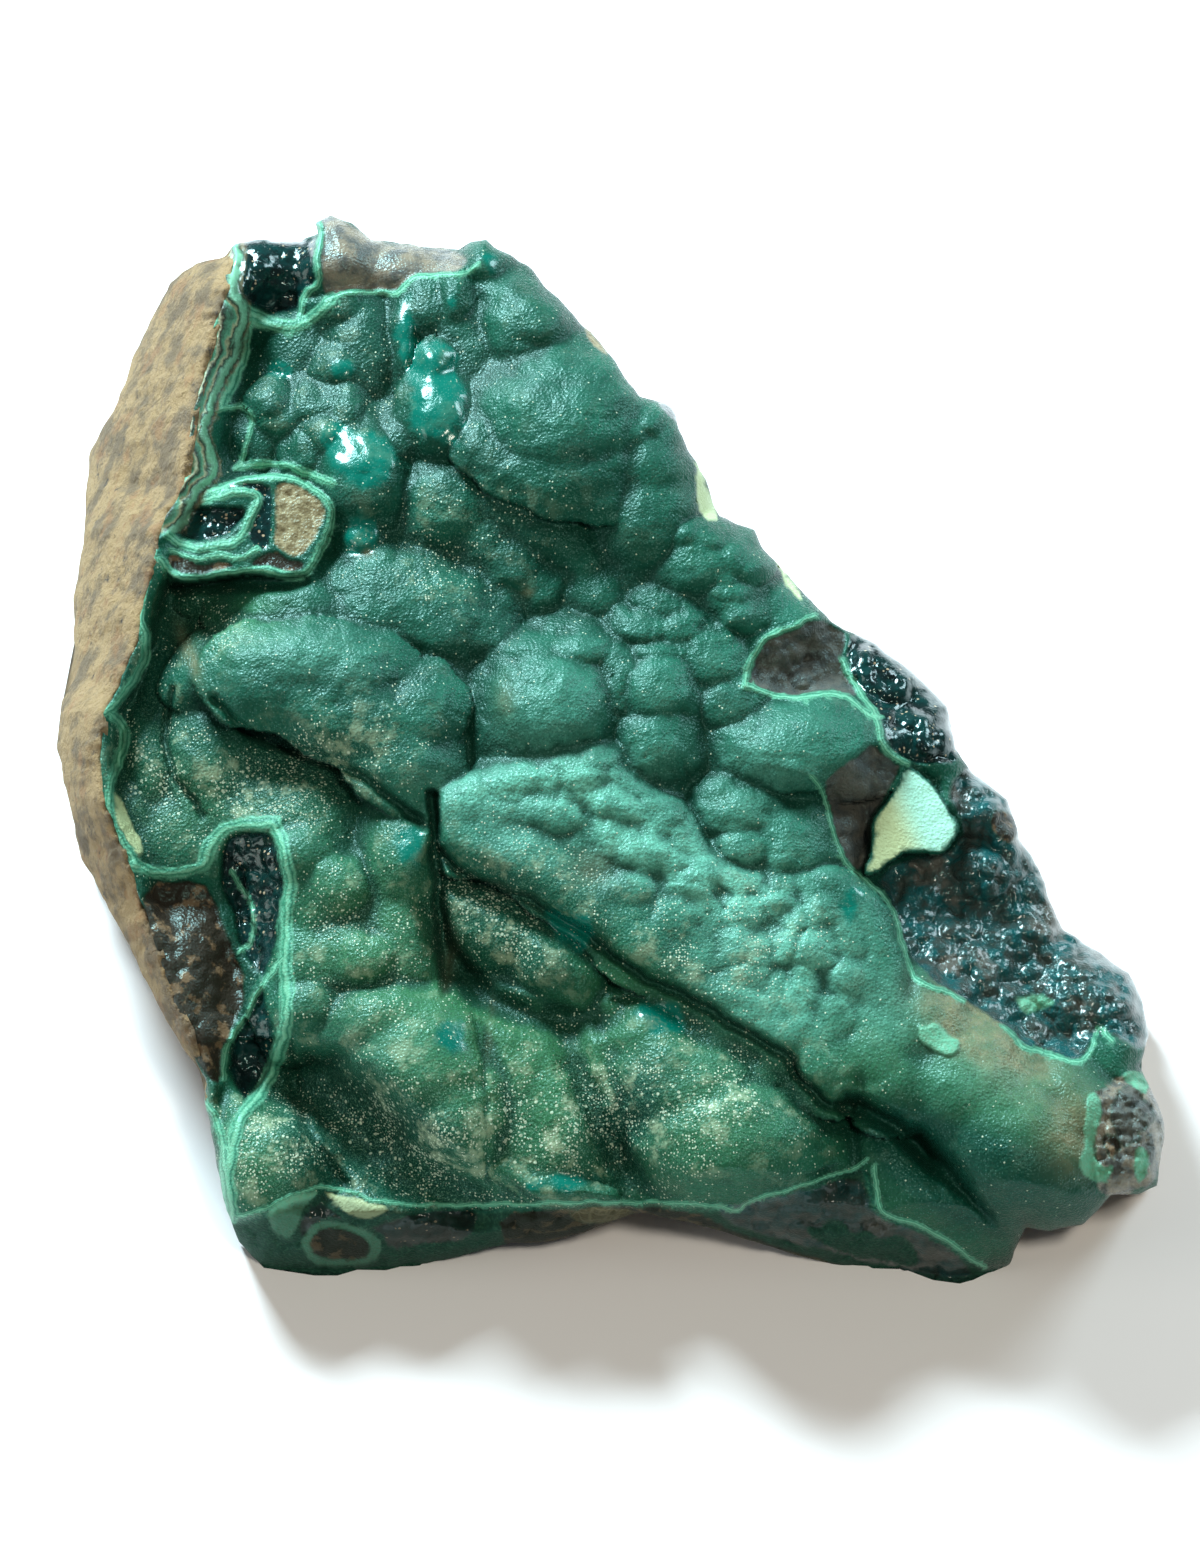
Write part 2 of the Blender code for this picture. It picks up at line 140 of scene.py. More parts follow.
def ripple(x: Array, y: Array, size: float, seed: int, octaves: int = 1) -> Array:
    """Smooth noise over the sheet, from about -1 to 1.

    Args:
        x: Steps to the right.
        y: Steps down.
        size: The width of its largest swells, in steps.
        seed: Which noise.
        octaves: How many halvings of the size are added up.

    Returns:
        The noise at each place.
    """
    total = np.zeros(np.shape(x))
    share = 1.0
    for octave in range(octaves):
        across, down = x / size, y / size
        column, row = np.floor(across).astype(np.int64), np.floor(down).astype(np.int64)
        right, low = across - column, down - row
        ease_x, ease_y = (part**3 * (part * (part * 6 - 15) + 10) for part in (right, low))
        corners = []
        for step_y in (0, 1):
            for step_x in (0, 1):
                turn = 2 * pi * lattice(column + step_x, row + step_y, seed + octave)
                corners.append(np.cos(turn) * (right - step_x) + np.sin(turn) * (low - step_y))
        upper = corners[0] + (corners[1] - corners[0]) * ease_x
        lower = corners[2] + (corners[3] - corners[2]) * ease_x
        total += share * NOISE_GAIN * (upper + (lower - upper) * ease_y)
        share *= 0.5
        size *= 0.5
    return total


def knobs(x: Array, y: Array, size: float, seed: int, fill: float = 0.62) -> Array:
    """Round knobs packed side by side over the sheet, from 0 in the creases to 1 on the tops.

    Args:
        x: Steps to the right.
        y: Steps down.
        size: How far apart the knobs stand, in steps.
        seed: Which set of knobs.
        fill: The radius of a knob as a share of the size.

    Returns:
        The height at each place.
    """
    across, down = x / size, y / size
    column, row = np.floor(across).astype(np.int64), np.floor(down).astype(np.int64)
    height = np.zeros(np.shape(x))
    for step_y in (-1, 0, 1):
        for step_x in (-1, 0, 1):
            beside, below = column + step_x, row + step_y
            middle_x = beside + 0.5 + KNOB_STRAY * (lattice(beside, below, seed) - 0.5)
            middle_y = below + 0.5 + KNOB_STRAY * (lattice(beside, below, seed + 7) - 0.5)
            radius = fill * (0.75 + 0.5 * lattice(beside, below, seed + 13))
            away = ((across - middle_x) ** 2 + (down - middle_y) ** 2) / radius**2
            height = np.maximum(height, radius / fill * np.sqrt(np.clip(1 - away, 0, None)))
    return height


def ease(value: Array, low: float, high: float) -> Array:
    """Goes smoothly from 0 where a value is low to 1 where it is high."""
    share = np.clip((value - low) / (high - low), 0, 1)
    return share * share * (3 - 2 * share)


def dome(away: Array) -> Array:
    """Works out the height of a round crown, which goes on straight down outside its brim.

    Args:
        away: How far from the crown's middle each place lies, as a share of its half width.

    Returns:
        The heights, 1 in the middle.
    """
    crown = np.sqrt(np.clip(1 - np.minimum(away, BRIM) ** 2, 0, None))
    return crown - np.clip(away - BRIM, 0, None) * BRIM / (1 - BRIM**2) ** 0.5


def softest(first: Array, second: Array, blend: float) -> Array:
    """The higher of two heights, with the crease between them filled over a small blend."""
    near = np.clip(blend - np.abs(first - second), 0, None)
    return np.maximum(first, second) + near * near / (4 * blend)


def rounded(points: Sequence[Point], closed: bool, rounds: int = 2) -> Array:
    """Cuts the corners off a drawn line until it runs smoothly.

    Args:
        points: The line's points on the sheet.
        closed: Whether the last point joins the first.
        rounds: How many times the corners are cut.

    Returns:
        The points of the smoother line.
    """
    line = np.array(points, float)
    for _ in range(rounds):
        after = np.roll(line, -1, axis=0) if closed else line[1:]
        before = line if closed else line[:-1]
        cut = np.stack([before * 0.75 + after * 0.25, before * 0.25 + after * 0.75], axis=1).reshape(-1, 2)
        line = cut if closed else np.concatenate([line[:1], cut, line[-1:]])
    return line


def reach(line: Array, x: Array, y: Array, closed: bool) -> Array:
    """Measures how far places lie from a line.

    Args:
        line: The line's points.
        x: Steps to the right.
        y: Steps down.
        closed: Whether the line is an outline.

    Returns:
        For an outline, how far inside each place lies, less than zero outside. For an open line, how far to
        its right each place lies, less than zero on its left.
    """
    starts = line if closed else line[:-1]
    ends = np.roll(line, -1, axis=0) if closed else line[1:]
    nearest = np.full(np.shape(x), np.inf)
    side = np.ones(np.shape(x))
    within = np.zeros(np.shape(x), bool)
    for (x0, y0), (x1, y1) in zip(starts, ends):
        length = max(np.hypot(x1 - x0, y1 - y0), TINY)
        ahead_x, ahead_y = (x1 - x0) / length, (y1 - y0) / length
        along = np.clip((x - x0) * ahead_x + (y - y0) * ahead_y, 0, length)
        away = np.hypot(x - x0 - along * ahead_x, y - y0 - along * ahead_y)
        closer = away < nearest
        nearest = np.where(closer, away, nearest)
        if closed and y0 != y1:
            within ^= ((y0 > y) != (y1 > y)) & (x < x0 + (y - y0) * (x1 - x0) / (y1 - y0))
        if not closed:
            right = np.where((y - y0) * ahead_x - (x - x0) * ahead_y > 0, 1.0, -1.0)
            side = np.where(closer, right, side)
    return nearest * (np.where(within, 1, -1) if closed else side)


def path(*numbers: float) -> list[Point]:
    """A line's points, from their numbers in turn."""
    return list(zip(numbers[::2], numbers[1::2]))


def near_box(points: Array, x: Array, y: Array, margin: float) -> Array:
    """Which places lie in or near the box round some points."""
    low, high = points.min(axis=0) - margin, points.max(axis=0) + margin
    return (x > low[0]) & (x < high[0]) & (y > low[1]) & (y < high[1])


def measured(
    line: Array, closed: bool, x: Array, y: Array, shift: Shift, half: float = 0.0
) -> tuple[Array, Array]:
    """Measures how far the places near a line lie from it, once each is moved a little.

    Args:
        line: The line's points.
        closed: Whether the line is an outline.
        x: Steps to the right.
        y: Steps down.
        shift: How far each place is moved to the right and down, so that the line doesn't run straight.
        half: The line's own half width, in steps.

    Returns:
        Which places lie near the line, and what reach measures for those.
    """
    near = near_box(line, x, y, half + MARGIN)
    return near, reach(line, x[near] + shift[0][near], y[near] + shift[1][near], closed)


LOBE_SPREAD = 1.16
LOBE_FOOT = 1.6
SWELL_SPREAD = 1.25
SWELL_DEPTH = 0.6
BLEND = 1.3
LAYER_BLEND = 0.5 * MM
RIDGE_SHARE = 0.6
FLOOR_KNOBS = 71


class Inner(Enum):
    """What shows where it isn't green crust, each a weight in an attribute of its own."""

    DARK = "dark"
    GREY = "grey"
    BROWN = "brown"
    PALE = "pale"
    TAN = "tan"
    SLATE = "slate"
    MINT = "mint"
    ASH = "ash"
    MOSS = "moss"


@dataclass(frozen=True)
class Lobe:
    """A round lobe: its place, half width, half height, turn and how far its crest rises, in millimetres."""

    x: float
    y: float
    wide: float
    tall: float
    turn: float
    rise: float

    def raise_on(self, x: Array, y: Array, out: Array, group: "Group") -> None:
        """Raises the face under the lobe, in place.

        Args:
            x: Steps to the right.
            y: Steps down.
            out: How far the face stands out at each place, in metres.
            group: The lobe's group, which says how it leans, how deep it is and how it grows together.
        """
        wide, tall = LOBE_SPREAD * self.wide, LOBE_SPREAD * self.tall
        size = max(wide, tall)
        near = (np.abs(x - self.x) < LOBE_FOOT * size) & (np.abs(y - self.y) < LOBE_FOOT * size)
        right, down = x[near] - self.x, y[near] - self.y
        turn = radians(self.turn)
        along = (right * cos(turn) - down * sin(turn)) / wide
        across = (right * sin(turn) + down * cos(turn)) / tall
        depth = group.deep * (wide * tall) ** 0.5 * SHEET.step
        away = np.hypot(along, across)
        crown = dome(away) + group.lean * down / tall
        cap = slope(y[near]) + self.rise * MM - depth + depth * crown
        raised = softest(out[near], cap, BLEND * group.soft * MM)
        out[near] = np.where(away < LOBE_FOOT, raised, out[near])


@dataclass(frozen=True)
class Layer:
    """A sheet of crust that lies on the face: its height over the slope in millimetres and its round edge."""

    outline: Sequence[Point]
    rise: float
    edge: float

    def raise_on(self, x: Array, y: Array, out: Array, shift: Shift) -> None:
        """Raises the face under the layer, in place.

        Args:
            x: Steps to the right.
            y: Steps down.
            out: How far the face stands out at each place, in metres.
            shift: How far each place is moved before it is measured.
        """
        near, inside = measured(rounded(self.outline, True), True, x, y, shift)
        fall = 1 - np.clip(inside / self.edge, 0, 1)
        drop = self.edge * SHEET.step * (1 - np.sqrt(np.clip(1 - fall**2, 0, None)))
        top = slope(y[near]) + self.rise * MM - drop
        out[near] = np.where(inside > 0, softest(out[near], top, LAYER_BLEND), out[near])


@dataclass(frozen=True)
class Break:
    """A place where the crust is broken away, or where another mineral shows.

    Depth is in millimetres and bevel, the width of the broken edge, in steps. Knob is the size of the round
    knobs on its floor in steps, and knob_rise their height in millimetres.
    """

    kind: Inner
    outline: Sequence[Point]
    depth: float = 0.0
    bevel: float = 5.0
    knob: float = 0.0
    knob_rise: float = 0.0
    wobble: float = 1.0

    def share(self, x: Array, y: Array, shift: Shift, low: float, high: float) -> tuple[Array, Array]:
        """Works out which places lie in the break.

        Args:
            x: Steps to the right.
            y: Steps down.
            shift: How far each place is moved before it is measured.
            low: How far inside the break begins, in steps.
            high: How far inside it is whole, in steps.

        Returns:
            Which places lie near the break, and a number from 0 to 1 for each of those.
        """
        shift = (shift[0] * self.wobble, shift[1] * self.wobble)
        near, inside = measured(rounded(self.outline, True, 1), True, x, y, shift)
        return near, ease(inside, low, high)

    def cut_into(self, x: Array, y: Array, out: Array, shift: Shift) -> None:
        """Lowers the face to the break's knobbly floor, in place.

        Args:
            x: Steps to the right.
            y: Steps down.
            out: How far the face stands out at each place, in metres.
            shift: How far each place is moved before it is measured.
        """
        near, share = self.share(x, y, shift, -0.5, self.bevel)
        change = -self.depth * share
        if self.knob:
            bumps = knobs(x[near], y[near], self.knob, FLOOR_KNOBS)
            bumps = bumps + 0.4 * knobs(x[near], y[near], self.knob * 0.5, FLOOR_KNOBS + 1)
            change = change + self.knob_rise * share * (bumps - 0.6)
        out[near] += change * MM


@dataclass(frozen=True)
class Ridge:
    """A mint-green edge of broken crust along a line: half width in steps, height in millimetres."""

    line: Sequence[Point]
    half: float
    rise: float
    closed: bool = False

    def measured(self, x: Array, y: Array, shift: Shift) -> tuple[Array, Array]:
        """Which places lie near the ridge, and how far from its line."""
        return measured(rounded(self.line, self.closed), self.closed, x, y, shift, self.half)

    def raise_on(self, x: Array, y: Array, out: Array, shift: Shift) -> None:
        """Raises the face along the ridge, in place."""
        near, away = self.measured(x, y, shift)
        out[near] += RIDGE_SHARE * self.rise * MM * ease(1 - np.abs(away) / self.half, 0, 0.8)


@dataclass(frozen=True)
class Spot:
    """A soft-edged patch of something: its middle, half width, half height, turn and strength."""

    x: float
    y: float
    wide: float
    tall: float
    turn: float = 0.0
    strength: float = 1.0

    def weight(self, x: Array, y: Array) -> Array:
        """Works out how strong the patch is.

        Args:
            x: Steps to the right.
            y: Steps down.

        Returns:
            The strength at each place.
        """
        right, down, turn = x - self.x, y - self.y, radians(self.turn)
        along = (right * cos(turn) - down * sin(turn)) / self.wide
        across = (right * sin(turn) + down * cos(turn)) / self.tall
        return self.strength * np.exp(-(along**2) - across**2)


def spots(*rows: tuple[float, ...]) -> list[Spot]:
    """Soft patches, one from each row of numbers."""
    return [Spot(*row) for row in rows]


def painted(patches: Iterable[Spot], x: Array, y: Array) -> Array:
    """Adds up soft patches.

    Args:
        patches: The patches.
        x: Steps to the right.
        y: Steps down.

    Returns:
        Their sum at each place.
    """
    total = np.zeros(np.shape(x))
    for patch in patches:
        total += patch.weight(x, y)
    return total


FACE_SLOPE = radians(18)
FACE_FOOT_Y = 1200.0
FACE_FOOT_OUT = 22.3 * MM


def slope(y: Array) -> Array:
    """How far the sloping face stands out from the sheet before its relief, in metres."""
    return FACE_FOOT_OUT - (FACE_FOOT_Y - y) * SHEET.step / tan(SHEET.dip + FACE_SLOPE)


OUTLINE = path(
    55, 745, 62, 700, 76, 672, 72, 600, 82, 548, 88, 452, 118, 400, 134, 352, 170, 282, 196, 262, 224, 256,
    232, 243, 262, 238, 300, 241, 318, 232, 314, 222, 330, 214, 352, 222, 372, 238, 420, 245, 460, 249,
    470, 242, 486, 238, 502, 250, 530, 266, 545, 284, 600, 340, 640, 396, 672, 402, 680, 430, 706, 480,
    720, 516, 755, 530, 765, 550, 790, 576, 832, 622, 870, 640, 915, 672, 948, 706, 956, 748, 975, 774,
    1008, 798, 1020, 838, 1040, 868, 1054, 908, 1066, 930, 1098, 950, 1130, 972, 1144, 1004, 1150, 1036,
    1140, 1066, 1160, 1106, 1166, 1136, 1158, 1186, 1140, 1195, 1112, 1196, 1082, 1226, 1050, 1232,
    1026, 1228, 1010, 1264, 985, 1277, 952, 1286, 900, 1272, 820, 1264, 760, 1244, 700, 1226, 640, 1212,
    560, 1240, 500, 1246, 440, 1262, 380, 1272, 335, 1278, 265, 1272, 240, 1244, 222, 1200, 214, 1150,
    204, 1100, 205, 1078, 184, 1052, 160, 1010, 130, 950, 104, 900, 80, 858, 68, 800,
)

ROCK_LINE = path(
    238, 150, 228, 262, 222, 300, 212, 340, 196, 400, 190, 440, 184, 484, 160, 530, 150, 580, 138, 640,
    120, 684, 104, 712, 100, 760, 106, 806, 133, 872, 150, 930, 175, 1000, 205, 1084, 205, 1130, 170, 1340,
)

HOLLOWS = spots(
    (318, 364, 84, 46, 0, -17), (500, 500, 190, 170, 0, -4), (690, 700, 150, 90, 0, -3),
    (212, 622, 50, 32, 0, -14), (175, 740, 56, 90, 0, -12), (243, 975, 30, 115, 0, -9),
    (300, 775, 110, 34, -18, -6), (850, 800, 46, 60, 0, -4), (1000, 880, 90, 80, 0, -4),
    (345, 250, 60, 26, 0, 3), (470, 880, 60, 40, -30, -5), (600, 960, 110, 34, -38, -4),
    (760, 1060, 60, 30, -50, -5), (905, 1155, 90, 40, -42, -10), (325, 1130, 60, 70, 0, -7),
    (545, 1050, 60, 90, -20, -3), (670, 600, 60, 30, 0, -5), (660, 775, 60, 20, 0, -8),
    (400, 820, 16, 40, 0, -4), (450, 640, 40, 30, 0, -4),
)


@dataclass(frozen=True)
class Swell:
    """A long rounded swell along a line of points, each with its half width and how far its crest rises."""

    points: Sequence[tuple[float, float, float, float]]
    lean: float = 0.2
    soft: float = 1.2

    def raise_on(self, x: Array, y: Array, out: Array) -> None:
        """Raises the face under the swell, in place.

        Args:
            x: Steps to the right.
            y: Steps down.
            out: How far the face stands out at each place, in metres.
        """
        line = np.array(self.points, float)
        line[:, 2] *= SWELL_SPREAD
        near = near_box(line[:, :2], x, y, LOBE_FOOT * line[:, 2].max())
        px, py = x[near], y[near]
        best = np.full(px.shape, -np.inf)
        for (x0, y0, half0, rise0), (x1, y1, half1, rise1) in zip(line, line[1:]):
            length = np.hypot(x1 - x0, y1 - y0)
            along = np.clip(((px - x0) * (x1 - x0) + (py - y0) * (y1 - y0)) / length**2, 0, 1)
            half = half0 + (half1 - half0) * along
            rise = rise0 + (rise1 - rise0) * along
            down = (py - y0 - along * (y1 - y0)) / half
            away = np.hypot(px - x0 - along * (x1 - x0), py - y0 - along * (y1 - y0)) / half
            depth = half * SHEET.step * SWELL_DEPTH
            cap = slope(py) + rise * MM - depth + depth * (dome(away) + self.lean * down)
            best = np.where(away < LOBE_FOOT, np.maximum(best, cap), best)
        raised = softest(out[near], best, BLEND * self.soft * MM)
        out[near] = np.where(np.isfinite(best), raised, out[near])


@dataclass(frozen=True)
class Group:
    """Lobes of one part of the face: how far they hang, how softly they join and how deep they are."""

    lean: float
    soft: float
    lobes: Sequence[tuple[float, ...]]
    deep: float = 0.72


GROUPS = {
    "upper hollow": Group(0.25, 0.8, [
        (268, 371, 24, 20, 0, -9), (252, 345, 26, 26, 0, -14), (302, 346, 34, 44, 0, -5),
        (364, 340, 40, 60, 0, 0), (378, 386, 34, 34, 12, -3), (341, 366, 17, 15, 0, 1.5),
        (405, 328, 11, 44, 0, 1.5), (434, 300, 30, 30, 0, 3), (456, 292, 11, 24, 0, 5),
        (300, 322, 60, 16, 0, -6), (340, 302, 22, 20, 0, -1), (300, 388, 26, 16, 0, -11),
    ]),
    "pear": Group(0.1, 0.9, [
        (436, 362, 12, 14, 0, 7.5), (437, 384, 15, 22, 0, 8), (440, 412, 25, 30, 6, 12),
    ]),
    "upper right": Group(0.25, 1.0, [
        (472, 348, 36, 46, 8, 4), (492, 388, 20, 34, -15, 2), (486, 254, 20, 20, -20, 3),
        (494, 288, 20, 26, 0, 1), (532, 322, 44, 46, 0, 9), (538, 316, 24, 22, 0, 11),
        (520, 352, 40, 26, -20, 4), (338, 244, 36, 34, 0, 2), (404, 262, 50, 26, 0, -1),
        (452, 262, 36, 22, 0, -2), (575, 345, 30, 18, -45, 3), (460, 325, 22, 24, 0, 3),
    ]),
    "cluster": Group(0.2, 0.7, [
        (285, 412, 28, 24, 0, 0), (322, 401, 32, 22, 0, 2), (347, 412, 15, 22, 0, 4),
        (328, 434, 15, 17, 0, 5), (309, 450, 16, 18, 0, 3), (365, 468, 35, 42, 0, 10),
        (400, 438, 20, 22, 0, 6), (405, 490, 14, 24, 0, 3), (361, 534, 16, 19, 0, 5),
        (258, 440, 26, 26, 0, -3), (396, 538, 40, 34, 0, 2), (334, 494, 20, 24, 0, 0),
        (438, 442, 30, 16, 0, 1), (385, 415, 24, 14, 0, 0), (270, 400, 14, 14, 0, 1),
    ]),
    "centre": Group(0.3, 1.2, [
        (568, 412, 64, 56, 10, 21), (574, 462, 52, 32, 0, 19), (608, 388, 34, 34, 30, 18),
        (453, 487, 48, 46, 0, 9), (650, 452, 40, 38, 0, 15), (648, 498, 40, 52, 0, 15),
        (632, 428, 14, 12, 0, 15.5), (652, 419, 14, 11, 0, 15.5), (668, 432, 16, 14, 0, 14.5),
        (605, 580, 34, 40, 0, 7), (565, 571, 19, 14, 0, 3), (548, 598, 28, 20, 0, 2),
        (542, 624, 28, 15, 0, 1), (510, 624, 16, 16, 0, 1), (500, 598, 26, 26, 0, 5),
        (300, 614, 52, 40, 6, 8), (378, 600, 50, 52, -30, 9), (345, 580, 40, 30, 0, 5),
        (470, 640, 24, 24, 0, 2),
    ]),
    "left": Group(0.2, 0.9, [
        (432, 674, 34, 28, 0, 8), (480, 660, 24, 22, 0, 4), (218, 668, 34, 22, 30, 5),
        (430, 745, 32, 50, 10, 11), (215, 735, 50, 62, -8, 2), (250, 760, 60, 40, -10, 0),
        (150, 755, 28, 52, 0, -3), (160, 680, 20, 60, 0, -6), (130, 800, 26, 30, 0, -4),
        (235, 625, 50, 40, 30, -9), (300, 612, 46, 42, 6, 8), (256, 640, 26, 26, 0, 5),
    ]),
    "pillow": Group(0.15, 1.4, [
        (262, 676, 36, 30, 0, 16), (304, 660, 40, 24, 0, 17.5), (350, 672, 38, 26, 0, 17.5),
        (322, 704, 52, 28, -30, 17), (374, 714, 42, 32, -40, 17.5), (404, 752, 36, 34, -40, 17),
        (420, 712, 26, 30, -30, 16.5),
    ], 0.5),
    "left slope": Group(0.1, 2.0, [
        (200, 830, 80, 46, 0, -3), (262, 800, 70, 40, -10, 0), (160, 840, 50, 40, 0, -4),
    ], 0.4),
    "slab": Group(0.1, 1.6, [
        (360, 905, 78, 120, 0, 6), (320, 870, 40, 60, 0, 7.5), (312, 960, 30, 50, 0, 6),
        (345, 950, 44, 34, 30, 7.5), (300, 820, 50, 40, -20, 6), (402, 920, 36, 70, 0, 8.5),
        (300, 1010, 28, 30, 0, 4), (470, 870, 36, 30, -30, 4), (550, 1080, 100, 120, 0, 6),
        (520, 1050, 60, 80, 0, 6.5), (585, 1080, 54, 90, -20, 8), (265, 1155, 56, 52, 0, 1),
        (800, 1130, 44, 54, 0, 7),
    ], 0.5),
    "slab bulges": Group(0.15, 1.3, [
        (500, 908, 82, 50, -36, 9), (560, 950, 58, 42, -38, 11), (418, 1052, 72, 66, -25, 14.5),
        (450, 1105, 54, 62, -30, 12), (382, 1014, 46, 28, 15, 12.5), (652, 1026, 52, 42, -38, 12),
        (690, 1072, 82, 62, -34, 15.5), (733, 1126, 84, 68, -12, 18),
    ], 0.8),
    "slab knobs": Group(0.1, 0.8, [
        (408, 850, 30, 38, 0, 13), (340, 882, 26, 24, 0, 10.5), (306, 850, 22, 22, 0, 10),
        (368, 955, 26, 20, 10, 10.5), (312, 1002, 20, 18, 0, 8),
    ], 0.6),
    "arm": Group(0.12, 1.4, [
        (915, 1020, 62, 54, -35, 16), (965, 1076, 78, 62, -38, 19), (1016, 1130, 80, 66, -36, 20.5),
        (985, 1166, 50, 40, -40, 12), (1072, 1104, 48, 42, -30, 15), (1052, 1178, 50, 38, -20, 13),
    ], 0.95),
    "middle right": Group(0.3, 0.7, [
        (555, 697, 50, 42, 0, 20), (500, 718, 30, 40, 10, 11), (592, 738, 46, 30, 0, 10),
        (620, 676, 26, 40, 14, 14), (545, 655, 34, 18, 0, 13), (580, 650, 26, 16, 0, 14),
        (570, 634, 26, 14, 0, 9), (520, 672, 24, 16, 0, 11), (662, 684, 32, 28, 0, 17),
        (656, 726, 40, 46, 0, 16), (645, 625, 26, 16, 0, 12), (681, 626, 22, 17, 0, 12),
        (618, 636, 26, 14, 0, 9), (667, 600, 34, 22, 0, 10), (692, 588, 24, 22, 0, 9),
        (658, 650, 26, 14, 0, 13), (685, 650, 20, 14, 0, 12), (700, 552, 44, 40, 0, 13),
        (688, 534, 12, 10, 0, 13.5), (710, 536, 14, 11, 0, 13.5), (733, 553, 18, 18, 0, 13),
        (726, 574, 16, 14, 0, 12), (748, 560, 16, 16, 0, 12), (728, 592, 24, 18, 0, 12),
        (740, 612, 19, 13, 0, 12), (712, 652, 36, 36, 0, 13), (728, 694, 40, 34, 0, 13),
        (714, 744, 26, 28, 0, 8), (800, 738, 70, 38, 0, 19), (800, 762, 30, 16, 0, 19),
        (742, 800, 50, 36, 0, 15), (744, 842, 30, 22, 0, 15), (788, 832, 40, 46, 0, 15),
        (770, 872, 30, 24, 0, 14), (800, 614, 42, 22, 18, 8), (768, 596, 40, 28, -40, 7),
        (690, 815, 24, 22, 0, 10), (640, 765, 40, 20, 0, 3), (765, 640, 24, 20, 0, 9),
    ]),
    "sheet": Group(0.3, 1.2, [
        (584, 764, 42, 26, 0, 17), (522, 776, 28, 16, 0, 15.5), (466, 800, 38, 24, 0, 15),
        (510, 806, 34, 14, 0, 16), (548, 812, 44, 18, -8, 16.5), (616, 798, 44, 22, -8, 17),
        (632, 842, 54, 28, -18, 17.5), (626, 884, 38, 22, 0, 17.5), (690, 872, 34, 24, -20, 17.5),
        (740, 905, 32, 24, 0, 17), (744, 948, 34, 40, 12, 18), (800, 940, 34, 36, 0, 18),
        (838, 965, 28, 46, 20, 16.5), (790, 985, 30, 32, 0, 17), (820, 905, 30, 20, 0, 16),
        (770, 895, 26, 18, 0, 17), (660, 912, 40, 26, -30, 17),
    ]),
    "right side": Group(0.15, 0.6, [
        (920, 738, 38, 26, -20, 8), (884, 672, 34, 32, 0, 4), (912, 806, 46, 42, 0, 4),
        (980, 802, 26, 22, -30, 4), (948, 783, 14, 12, 0, 3), (948, 797, 10, 8, 0, 4),
        (1006, 828, 17, 24, 20, 2), (984, 870, 16, 18, 20, 3), (1090, 1000, 54, 44, -40, 3),
        (1110, 1060, 40, 40, 0, 6), (1118, 1136, 46, 56, 0, 13), (880, 735, 10, 20, 0, 6),
    ]),
}

SWELLS = [
    Swell([(478, 444, 16, 14), (512, 458, 20, 16), (556, 474, 22, 18), (600, 490, 18, 16)], 0.3),
    Swell([(506, 494, 24, 8.5), (545, 515, 27, 9), (585, 548, 20, 7)], 0.3, 0.9),
    Swell([(486, 528, 22, 7), (515, 558, 24, 7), (545, 588, 18, 5)], 0.3, 0.9),
    Swell([(395, 590, 40, 9), (440, 610, 42, 10), (490, 630, 26, 7)], 0.3, 1.6),
    Swell([(505, 1170, 8, 3.5), (555, 1190, 11, 4.5), (605, 1202, 8, 4)], 0.0, 0.8),
    Swell([(450, 828, 22, 15), (500, 838, 24, 16.5), (550, 862, 24, 17), (596, 898, 24, 17)], 0.4, 1.4),
    Swell([(596, 892, 24, 17), (645, 926, 32, 18), (690, 956, 30, 17.5)], 0.4, 1.4),
    Swell([(700, 966, 28, 17), (745, 992, 36, 17.5), (782, 1022, 32, 17)], 0.4, 1.4),
    Swell([(806, 1030, 24, 16.5), (824, 1060, 25, 16.5), (832, 1078, 20, 15)], 0.3, 0.8),
    Swell([
        (846, 925, 18, 13), (858, 985, 26, 15.5), (878, 1035, 34, 16.5), (898, 1070, 34, 16.5),
    ], 0.2, 1.0),
    Swell([
        (866, 1100, 16, 3), (882, 1145, 21, 5), (932, 1195, 22, 4), (985, 1243, 18, 2), (1003, 1260, 12, 0),
    ], 0.3, 0.8),
    Swell([(888, 1120, 10, -1), (925, 1160, 14, 0), (975, 1205, 14, 0), (1010, 1240, 10, -1)], 0.1, 0.8),
    Swell([(245, 572, 20, -6), (200, 578, 20, -6)], 0.0, 0.8),
]

